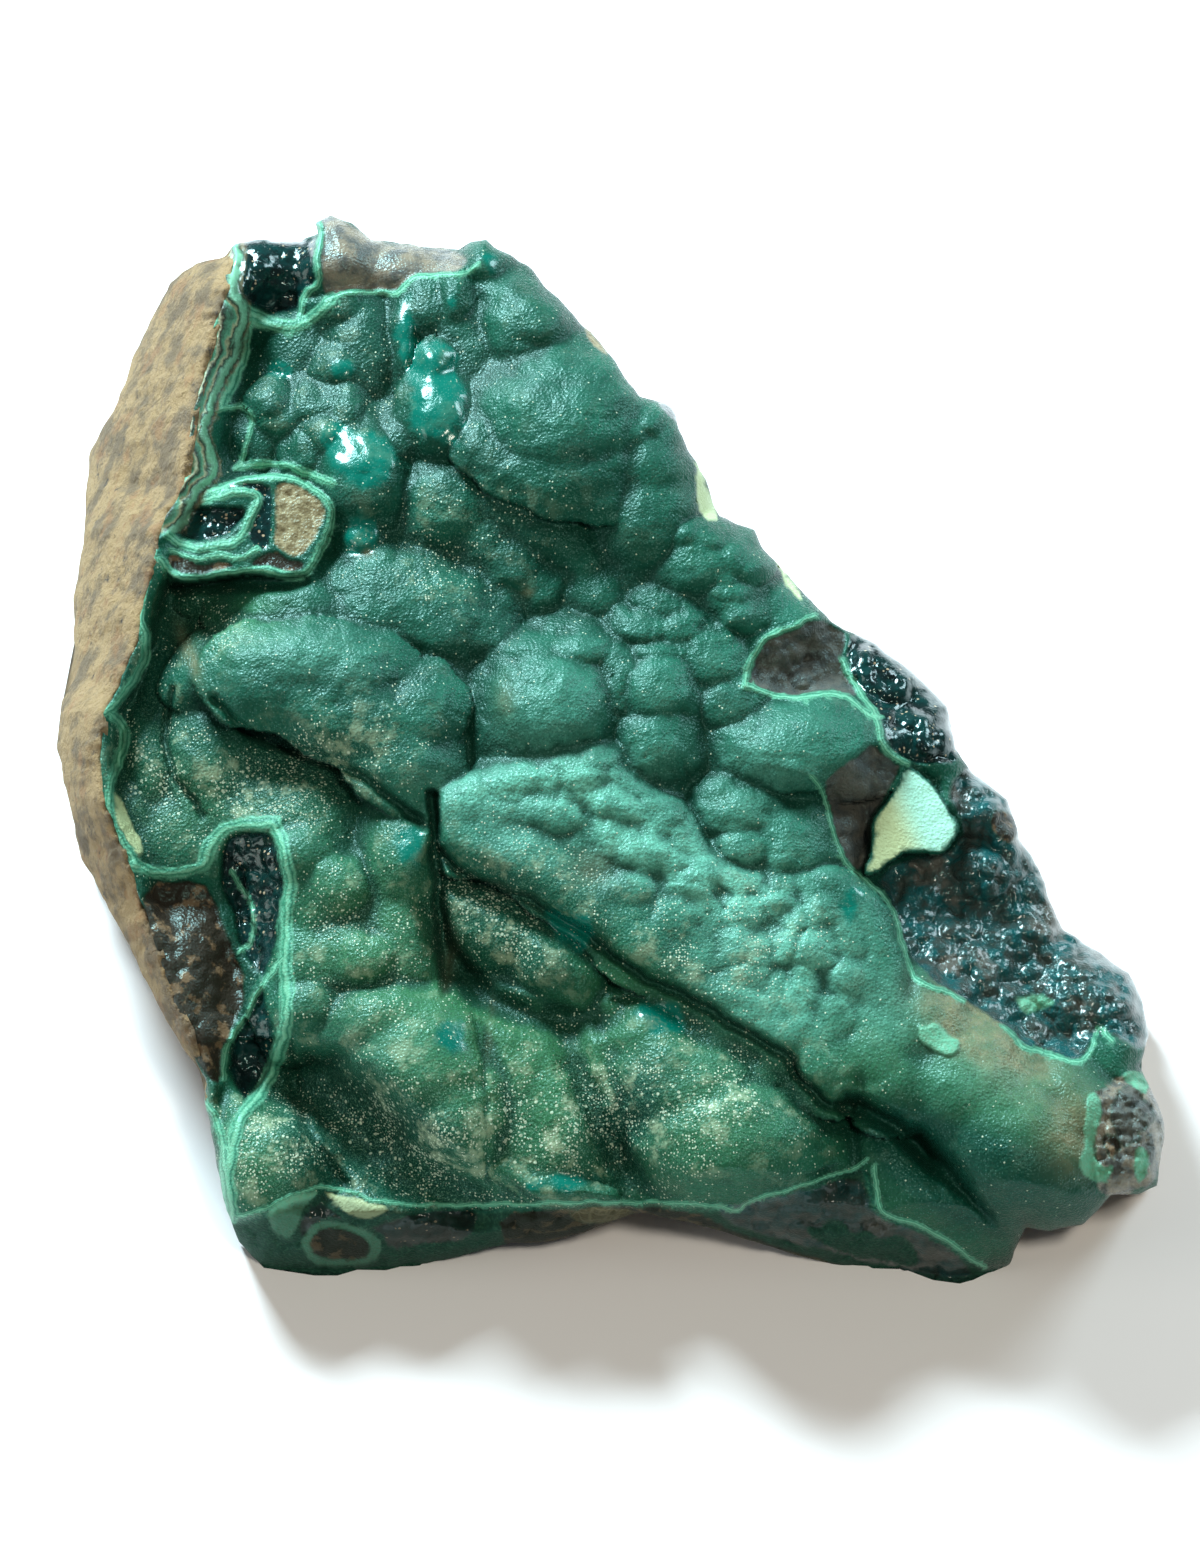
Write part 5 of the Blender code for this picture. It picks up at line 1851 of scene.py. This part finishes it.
    def dusted(self, graph: CrustGraph, colour: Socket) -> Socket:
        """Lays dust and crumbs with painted sparkle, stains and painted glints over the greens.

        Args:
            graph: The finish's node tree.
            colour: The greens.

        Returns:
            The colour.
        """
        powder = graph.times(graph.dusty, graph.span(graph.noise(7 * MM, 6, 0.7), 0.48, 0.66, 0, 0.75))
        sparkle_crumbs = graph.specks(1.25 * MM, graph.span(graph.dusty, 0.7, 1.0, 0.0, 0.30))
        return graph.coats(
            colour,
            (graph.sum("SUBTRACT", powder, graph.mark("crease"), True), self.powder),
            # Pale specks and crumbs, partly dust and partly painted sparkle.
            (graph.times(graph.dots, 0.75), self.dust),
            (graph.times(sparkle_crumbs, 0.6), self.dust),
            (graph.times(graph.mark("stain"), graph.span(graph.mottle, 0.25, 0.75, 0.35, 1)), self.stain),
            # Painted glints.
            (graph.times(graph.specks(0.55 * MM, 0.30), 0.24), self.painted_glint),
        )

    def patched(self, graph: CrustGraph, colour: Socket, rough: Socket) -> tuple[Socket, Socket]:
        """Lays on the minerals that show in the crust's gaps.

        Args:
            graph: The finish's node tree.
            colour: The crust's colour.
            rough: The crust's roughness.

        Returns:
            The colour and the roughness.
        """
        mottle, fine = graph.mottle, graph.fine
        band = graph.span(mottle, 0.35, 0.65)
        net = graph.span(graph.cells(3.4 * MM, "DISTANCE_TO_EDGE"), 0.02, 0.16)
        slate = graph.mix(band, self.slate, self.slate_teal)
        patches = (
            ("dark", graph.mix(band, self.dark, self.dark_teal), 0.13),
            ("grey", graph.mix(band, self.grey, self.grey_dark), 0.26),
            ("brown", graph.mix(graph.span(mottle, 0.52, 0.62), self.brown, self.brown_light), 0.32),
            ("tan", graph.mix(net, self.tan_light, self.tan), 0.4),
            ("pale", graph.mix(graph.mark("minty"), self.pale, self.pale_mint), 0.45),
            ("slate", graph.mix(graph.span(graph.coarse, 0.56, 0.64), slate, self.ash), 0.17),
            ("ash", graph.mix(band, self.ash, self.ash_dark), 0.42),
            ("moss", graph.mix(graph.span(fine, 0.45, 0.7), self.moss, self.moss_light), 0.34),
            ("mint", graph.mix(graph.span(fine, 0.35, 0.65), self.mint_flat, self.mint), 0.5),
        )
        for name, shade, gloss in patches:
            weight = graph.mark(name)
            colour = graph.mix(weight, colour, shade)
            rough = graph.between(weight, rough, gloss)
        flecks = graph.specks(1.1 * MM, graph.times(graph.mark("dark"), 0.09))
        return graph.mix(flecks, colour, self.fleck), rough

    def edged(self, graph: CrustGraph, colour: Socket, rough: Socket) -> tuple[Socket, Socket]:
        """Lays painted shade on the front wall, the banded broken edges and the rim's lines.

        Args:
            graph: The finish's node tree.
            colour: The colour so far.
            rough: The roughness so far.

        Returns:
            The colour and the roughness.
        """
        edge, rim, wall = graph.mark("edge"), graph.mark("rim"), graph.mark("wall")
        colour = graph.coats(
            colour,
            # Painted shade on the front wall.
            (graph.times(wall, 0.62), self.wall),
            (edge, graph.ramp(graph.strayed("edge_across", 0.22), EDGE_BANDS)),
            (rim, graph.ramp(graph.strayed("rim_across", 0.12), RIM_LINES)),
        )
        rough = graph.between(graph.sum("MAXIMUM", rim, edge), rough, 0.42)
        return colour, graph.between(wall, rough, 0.75)

    def relief(self, graph: CrustGraph) -> Socket:
        """Works out the fine relief, which is weaker where the crust is clean or dark.

        Args:
            graph: The finish's node tree.

        Returns:
            The relief.
        """
        polish = graph.sum("MAXIMUM", graph.clean, graph.times(graph.mark("dark"), 0.85))
        normal = graph.bump(graph.mottle, 0.9 * MM, graph.between(polish, 0.28, 0.14))
        normal = graph.bump(graph.cells(0.8 * MM), 0.24 * MM, graph.between(polish, 0.70, 0.22), normal)
        normal = graph.bump(graph.fine, 0.30 * MM, graph.between(polish, 0.65, 0.30), normal)
        return graph.bump(graph.dots, 0.2 * MM, 0.7, normal)


@dataclass(frozen=True)
class RockFinish:
    """Buff host rock with dark specks."""

    buff: Colour = (0.33, 0.235, 0.108)
    shade: Colour = (0.150, 0.112, 0.060)
    rust: Colour = (0.27, 0.145, 0.058)
    speck: Colour = (0.05, 0.045, 0.035)

    def material(self) -> bpy.types.Material:
        """Builds the finish.

        Returns:
            The material.
        """
        graph = Graph("buff_rock")
        pits = graph.span(graph.noise(24 * MM, 3), 0.35, 0.65, 0.02, -0.03)
        pits = graph.sum("ADD", graph.noise(3.0 * MM, 6, 0.75), pits)
        colour = graph.coats(
            self.buff,
            (graph.span(graph.noise(12 * MM, 6, 0.65), 0.42, 0.60), self.shade),
            (graph.span(graph.noise(9 * MM, 5, 0.6), 0.54, 0.66, 0, 0.6), self.rust),
            (graph.span(pits, 0.60, 0.68), self.speck),
        )
        crags = graph.bump(graph.noise(7 * MM, 6, 0.7), 4.0 * MM, 1.0)
        normal = graph.bump(graph.noise(1.6 * MM, 5, 0.7), 1.0 * MM, 1.0, crags)
        graph.give(Base_Color=colour, Roughness=0.85, Normal=normal)
        return graph.material


@dataclass
class MalachiteFace:
    """The lobed green face with all that shows in its gaps."""

    spacing: float = 2.0
    limit: int = 195000
    skin: float = 4 * MM

    def build(self) -> bpy.types.Object:
        """Models the face and stores on it what its finish reads.

        Returns:
            The object.
        """
        slab = Slab(
            "malachite_face", self.spacing,
            keep=lambda x, y: np.minimum(RELIEF.inside(x, y), RELIEF.rock_side(x, y)),
            front=RELIEF.face, back=self.hidden, limit=self.limit,
        )
        made = slab.build()
        self.dress(made)
        return made

    def hidden(self, x: Array, y: Array) -> Array:
        """How far the skin's hidden side stands out from the sheet, in metres."""
        low = np.maximum(RELIEF.under(x, y) - self.skin, Depths.behind(x, y) + 1 * MM)
        return np.minimum(low, RELIEF.face(x, y) - 1 * MM)

    def dress(self, made: bpy.types.Object) -> None:
        """Stores the finish's numbers and gives the piece its finish.

        Args:
            made: The piece.
        """
        x, y, out = SHEET.read(corners_of(made))
        shift = RELIEF.wobble(x, y)
        self.mark_breaks(made, x, y, shift)
        self.mark_edges(made, x, y, shift)
        self.mark_heights(made, x, y, out)
        # Painted shade and painted light are stored here beside the real stains and yellow-green tone.
        for name, patches in (("shade", PAINTED_SHADE), ("stain", STAIN), ("painted_light", PAINTED_LIGHT), ("leaf", LEAF)):
            mark(made, name, np.clip(painted(patches, x, y), 0, 1))
        mark(made, "minty", ease(x - 0.4 * y, 562, 596))
        # Where the pale specks go, partly dust and partly painted sparkle.
        mark(made, "dust", np.clip(painted(DUST_AND_SPARKLE, x, y) + 0.04, 0, 1))
        # Where the painted sheen goes.
        mark(made, "painted_sheen", np.clip(painted(PAINTED_SHEEN, x, y) * 0.8 + 0.1, 0, 1))
        mark(made, "clean", ease(painted(CLEAN, x, y) + 0.25 * ripple(x, y, 18, 17, 2), 0.5, 0.75))
        # Painted shade over the front wall, below the front line.
        front = np.array(FRONT_LINE, float)
        mark(made, "wall", ease(y + shift[1] - np.interp(x, front[:, 0], front[:, 1]), 0, 10))
        made.data.materials.append(CrustFinish().material())
        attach(made, "root")
        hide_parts("malachite")

    @staticmethod
    def mark_breaks(made: bpy.types.Object, x: Array, y: Array, shift: Shift) -> None:
        """Stores how much of each mineral shows.

        Args:
            made: The piece.
            x: Steps to the right of each vertex.
            y: Steps down.
            shift: How far each place is moved before it is measured.
        """
        weights = {kind: np.zeros(len(x)) for kind in Inner}
        for broken in BREAKS:
            near, share = broken.share(x, y, shift, broken.bevel * 0.2, broken.bevel * 0.8)
            for kind, weight in weights.items():
                weight[near] *= 1 - share
                if kind is broken.kind:
                    weight[near] += share
        for kind, weight in weights.items():
            mark(made, kind.value, weight)

    @staticmethod
    def mark_edges(made: bpy.types.Object, x: Array, y: Array, shift: Shift) -> None:
        """Stores where the broken edges and the rim's lines run, and how far across them each vertex lies.

        Args:
            made: The piece.
            x: Steps to the right of each vertex.
            y: Steps down.
            shift: How far each place is moved before it is measured.
        """
        edge = np.zeros(len(x))
        edge_across = np.zeros(len(x))
        for ridge in RIDGES:
            near, away = ridge.measured(x, y, shift)
            share = 1 - np.abs(away) / ridge.half
            edge_across[near] = np.where(share > edge[near], 0.5 + 0.5 * away / ridge.half, edge_across[near])
            edge[near] = np.maximum(edge[near], share)
        mark(made, "edge", ease(edge, 0.0, 0.25))
        mark(made, "edge_across", edge_across)
        near, away = RELIEF.from_rim(x, y, shift)
        across = np.ones(len(x))
        across[near] = away / RIM_HALF
        mark(made, "rim_across", (across + 1) / 2)
        mark(made, "rim", ease(1 - np.abs(across), 0, 0.1) * (y < RIM_END))

    @staticmethod
    def mark_heights(made: bpy.types.Object, x: Array, y: Array, out: Array) -> None:
        """Stores where the creases and the crests are, for the painted shade in the creases and the painted
        sheen on the crests.

        Args:
            made: The piece.
            x: Steps to the right of each vertex.
            y: Steps down.
            out: How far each stands out.
        """
        low = np.clip((GRID.at(blurred(RELIEF.heights, 3), x, y) - out) / (0.5 * MM), 0, 1)
        deep = np.clip((GRID.at(blurred(RELIEF.heights, 9), x, y) - out) / (2.2 * MM), -1, 1)
        mark(made, "crease", np.clip(0.6 * low + 0.8 * np.clip(deep, 0, 1), 0, 1))
        mark(made, "crest", np.clip(-deep, 0, 1))


@dataclass
class HostRock:
    """The buff rock's left flank, a skin over its bulk."""

    spacing: float = 3.0
    limit: int = 120000
    right: float = 260.0
    thick: float = 20 * MM

    def build(self) -> bpy.types.Object:
        """Models the rock's flank.

        Returns:
            The object.
        """
        slab = Slab(
            "host_rock_flank", self.spacing,
            keep=lambda x, y: np.minimum(RELIEF.inside(x, y), 6 - RELIEF.rock_side(x, y)),
            front=self.surface, back=self.hidden, limit=self.limit, right=self.right,
        )
        made = slab.build()
        made.data.materials.append(RockFinish().material())
        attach(made, "root")
        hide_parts("host_rock")
        return made

    def hidden(self, x: Array, y: Array) -> Array:
        """How far the flank's hidden side stands out from the sheet, in metres."""
        low = np.maximum(self.surface(x, y) - self.thick, Depths.behind(x, y) + 0.5 * MM)
        return np.minimum(low, self.surface(x, y) - 0.5 * MM)

    @staticmethod
    def surface(x: Array, y: Array) -> Array:
        """Works out how far the rock stands out from the sheet.

        Args:
            x: Steps to the right.
            y: Steps down.

        Returns:
            The distances in metres.
        """
        crags = 2.6 * ripple(x, y, 60, 81, 4) - 1.2 * np.abs(ripple(x, y, 26, 84, 3))
        crags = crags + 0.6 * ripple(x, y, 9, 82, 2)
        out = RELIEF.chunk(x, y) + (crags + 0.4) * MM
        under = 1.2 * MM * ease(RELIEF.rock_side(x, y), -4, 4)
        return RELIEF.edged(x, y, out - under)


WALL_PIVOT = (0.0, 120 * MM)
LEAST_FACING = 0.05
WALLS = [
    (radians(93), radians(6), 154 * MM),
    (radians(63), radians(11), 128 * MM),
    (radians(38), radians(17), 90 * MM),
]


class Depths:
    """Surfaces behind the face: the floor, the broken walls and the border between the two stones."""

    @staticmethod
    def behind(x: Array, y: Array) -> Array:
        """Works out where the line of sight leaves the specimen, at its back or underside.

        Args:
            x: Steps to the right.
            y: Steps down.

        Returns:
            How far out from the sheet that is, in metres.
        """
        start = SHEET.place(x, y, np.zeros(np.shape(x)))
        ahead = (SHEET.place(x, y, np.full(np.shape(x), 10 * MM)) - start) / (10 * MM)
        out = -start[:, 2] / ahead[:, 2]
        pivot = np.array([WALL_PIVOT[0] - SHEET.origin_across, WALL_PIVOT[1] - SHEET.origin_back, 0.0])
        rough = 2.2 * MM * (ripple(x, y, 70, 61, 4) + 0.9)
        for compass, lean, distance in WALLS:
            flat = np.array([cos(compass), sin(compass), 0.0])
            normal = flat * cos(lean) + np.array([0.0, 0.0, sin(lean)])
            gap = (start - pivot - flat * distance) @ normal
            wall = -gap / np.minimum(ahead @ normal, -LEAST_FACING)
            out = np.maximum(out, wall + rough)
        return out

    @staticmethod
    def border_height(x: Array, y: Array) -> Array:
        """Works out how high over the underside the border between rock and mineral lies.

        Args:
            x: Metres to the right, in plan.
            y: Metres to the back.

        Returns:
            The heights in metres.
        """
        wave = np.sin(x / (31 * MM) + 0.7) * np.cos(y / (43 * MM)) + 0.6 * np.sin((x + 2 * y) / (52 * MM))
        front_left = np.clip((-20 * MM - x) / (30 * MM), 0, 1) * np.clip((-70 * MM - y) / (30 * MM), 0, 1)
        rise = 8 * MM + 0.15 * np.clip(y + SHEET.origin_back, 0, None) + 3.5 * MM * wave
        return rise - front_left * 20 * MM

    @staticmethod
    def border(x: Array, y: Array) -> Array:
        """Works out where the line of sight meets the border between the two stones.

        Args:
            x: Steps to the right.
            y: Steps down.

        Returns:
            How far out from the sheet that is, in metres.
        """
        out = np.zeros(np.shape(x))
        for _ in range(12):
            point = SHEET.place(x, y, out)
            out = out + (Depths.border_height(point[:, 0], point[:, 1]) - point[:, 2]) * 0.8
        return out


@dataclass
class Body:
    """The bulk of one stone behind the face, down to its broken back and its underside."""

    name: str
    node: str
    spacing: float = 7.0
    limit: int = 60000
    rows: int = 26
    least: float = 0.6 * MM

    def build(self) -> bpy.types.Object:
        """Models the body.

        Returns:
            The object.
        """
        mineral = self.node == "malachite"
        front = self.mineral_front if mineral else self.rock_front
        back = self.mineral_back if mineral else Depths.behind
        slab = Slab(
            self.name, self.spacing, keep=self.keep,
            front=lambda x, y: np.maximum(front(x, y), back(x, y) + self.least),
            back=back, limit=self.limit, rows=self.rows, backing=1.0,
        )
        made = slab.build()
        mark(made, "depth", SHEET.read(corners_of(made))[2])
        made.data.materials.append((BackFinish() if mineral else RockFinish()).material())
        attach(made, "root")
        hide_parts(self.node)
        return made

    def keep(self, x: Array, y: Array) -> Array:
        """Works out where the body is.

        Args:
            x: Steps to the right.
            y: Steps down.

        Returns:
            Numbers above zero where it is.
        """
        inside = RELIEF.inside(x, y) - 1.5
        thick = (self.rock_front(x, y) - Depths.behind(x, y)) / SHEET.step
        if self.node == "malachite":
            inside = np.minimum(inside, RELIEF.rock_side(x, y) - 1)
            thick = (self.mineral_front(x, y) - self.mineral_back(x, y)) / SHEET.step
        return np.minimum(inside, thick - 4)

    @staticmethod
    def mineral_front(x: Array, y: Array) -> Array:
        """The hidden front of the mineral, inside the face."""
        return RELIEF.under(x, y) - 2 * MM

    @staticmethod
    def mineral_back(x: Array, y: Array) -> Array:
        """The mineral's back: the border with the rock or the broken back."""
        return np.maximum(Depths.behind(x, y), Depths.border(x, y))

    @staticmethod
    def rock_front(x: Array, y: Array) -> Array:
        """Works out the hidden front of the rock: under the mineral, and inside the flank.

        Args:
            x: Steps to the right.
            y: Steps down.

        Returns:
            How far it stands out from the sheet, in metres.
        """
        flank = HostRock.surface(x, y) - 4 * MM
        under = np.minimum(Depths.border(x, y) - 0.4 * MM, flank)
        share = ease(RELIEF.rock_side(x, y), -2, 2)
        return flank + (under - flank) * share


@dataclass(frozen=True)
class BackFinish:
    """The mineral's broken back: growth bands of green, with brown patches."""

    deep: Colour = (0.004, 0.050, 0.030)
    mint: Colour = (0.024, 0.150, 0.088)
    brown: Colour = (0.045, 0.038, 0.026)
    banding: float = 1500.0

    def material(self) -> bpy.types.Material:
        """Builds the finish.

        Returns:
            The material.
        """
        graph = Graph("malachite_broken")
        stray = graph.span(graph.noise(26 * MM, 3, 0.5), 0, 1, -14 * MM, 14 * MM)
        wave = graph.times(graph.sum("ADD", graph.mark("depth"), stray), self.banding)
        patchy = graph.span(graph.noise(14 * MM, 4), 0.35, 0.65)
        bands = graph.times(graph.span(graph.sum("SINE", wave), -1.0, 1.0), patchy)
        colour = graph.coats(
            self.deep,
            (bands, self.mint),
            (graph.span(graph.noise(20 * MM, 5, 0.6), 0.56, 0.70), self.brown),
        )
        normal = graph.bump(graph.noise(2.5 * MM, 5, 0.65), 0.8 * MM, 0.7)
        graph.give(Base_Color=colour, Roughness=0.6, Normal=normal)
        return graph.material


LIGHTS = [
    ("window", (-0.60, 1.00, 0.98), 62.0, 0.50, (0.78, 0.93, 1.0)),
    ("lamp", (0.35, -0.75, 1.35), 9.0, 0.22, (1.0, 0.90, 0.76)),
    ("far_window", (1.00, 0.80, 0.75), 12.0, 0.5, (0.76, 0.92, 1.0)),
    ("side_window", (-1.3, -0.35, 0.6), 5.0, 0.7, (1.0, 0.96, 0.90)),
]


@dataclass
class Studio:
    """A pale floor, soft light and the camera."""

    focus_y: float = 775.5
    sensor: float = 36.0
    sight: float = 1200 * MM
    frame_height: float = 1551.0
    sky: float = 0.13
    lit: tuple[float, float, float] = (0, 0, 0.05)

    def build(self) -> None:
        """Adds the floor, the camera and the lights."""
        self.add_floor()
        self.add_camera()
        for light in LIGHTS:
            self.add_light(*light)
        world = bpy.data.worlds.new("studio")
        bpy.context.scene.world = world
        world.use_nodes = True
        sky = world.node_tree.nodes["Background"]
        sky.inputs["Color"].default_value = (0.9, 0.96, 1.0, 1.0)
        sky.inputs["Strength"].default_value = self.sky
        bpy.context.scene.view_settings.view_transform = "Standard"

    def add_floor(self) -> None:
        """Adds the floor."""
        bpy.ops.object.select_all(action="DESELECT")
        bpy.ops.mesh.primitive_plane_add(size=8.0, location=(0, 0, 0))
        floor = bpy.context.object
        floor.name = "floor"
        graph = Graph("pale_floor")
        graph.give(Base_Color=(0.86, 0.86, 0.86), Roughness=0.7)
        floor.data.materials.append(graph.material)

    def add_camera(self) -> None:
        """Adds the camera, which looks square at the middle of the sheet."""
        target = Vector(SHEET.place(np.float64(SHEET.middle_x), np.float64(self.focus_y), np.float64(0)))
        away = Vector((0, -cos(SHEET.dip), sin(SHEET.dip)))
        lens = self.sensor * self.sight / (self.frame_height * SHEET.step)
        bpy.ops.object.camera_add(location=target + away * self.sight)
        camera = bpy.context.object
        camera.rotation_euler = (-away).to_track_quat("-Z", "Y").to_euler()
        camera.data.sensor_width = self.sensor
        camera.data.lens = lens
        bpy.context.scene.camera = camera

    def add_light(
        self, name: str, place: tuple[float, float, float], power: float, size: float, colour: Colour
    ) -> None:
        """Adds a soft square light that faces the specimen.

        Args:
            name: The light's name.
            place: Its place in metres.
            power: Its power in watts.
            size: The width of the square in metres.
            colour: Its colour.
        """
        bpy.ops.object.light_add(type="AREA", location=place)
        light = bpy.context.object
        light.name = name
        light.data.energy = power
        light.data.size = size
        light.data.color = colour
        light.rotation_euler = (Vector(self.lit) - light.location).to_track_quat("-Z", "Y").to_euler()


def main() -> None:
    """Builds the specimen and its studio."""
    logging.basicConfig(level=logging.INFO, format="%(message)s")
    Studio().build()
    bodies = (Body("malachite_back", "malachite"), Body("host_rock_bed", "host_rock"))
    for part in (MalachiteFace(), HostRock(), *bodies):
        made = part.build()
        LOG.info("%s is done", made.name)


if __name__ == "__main__":
    main()
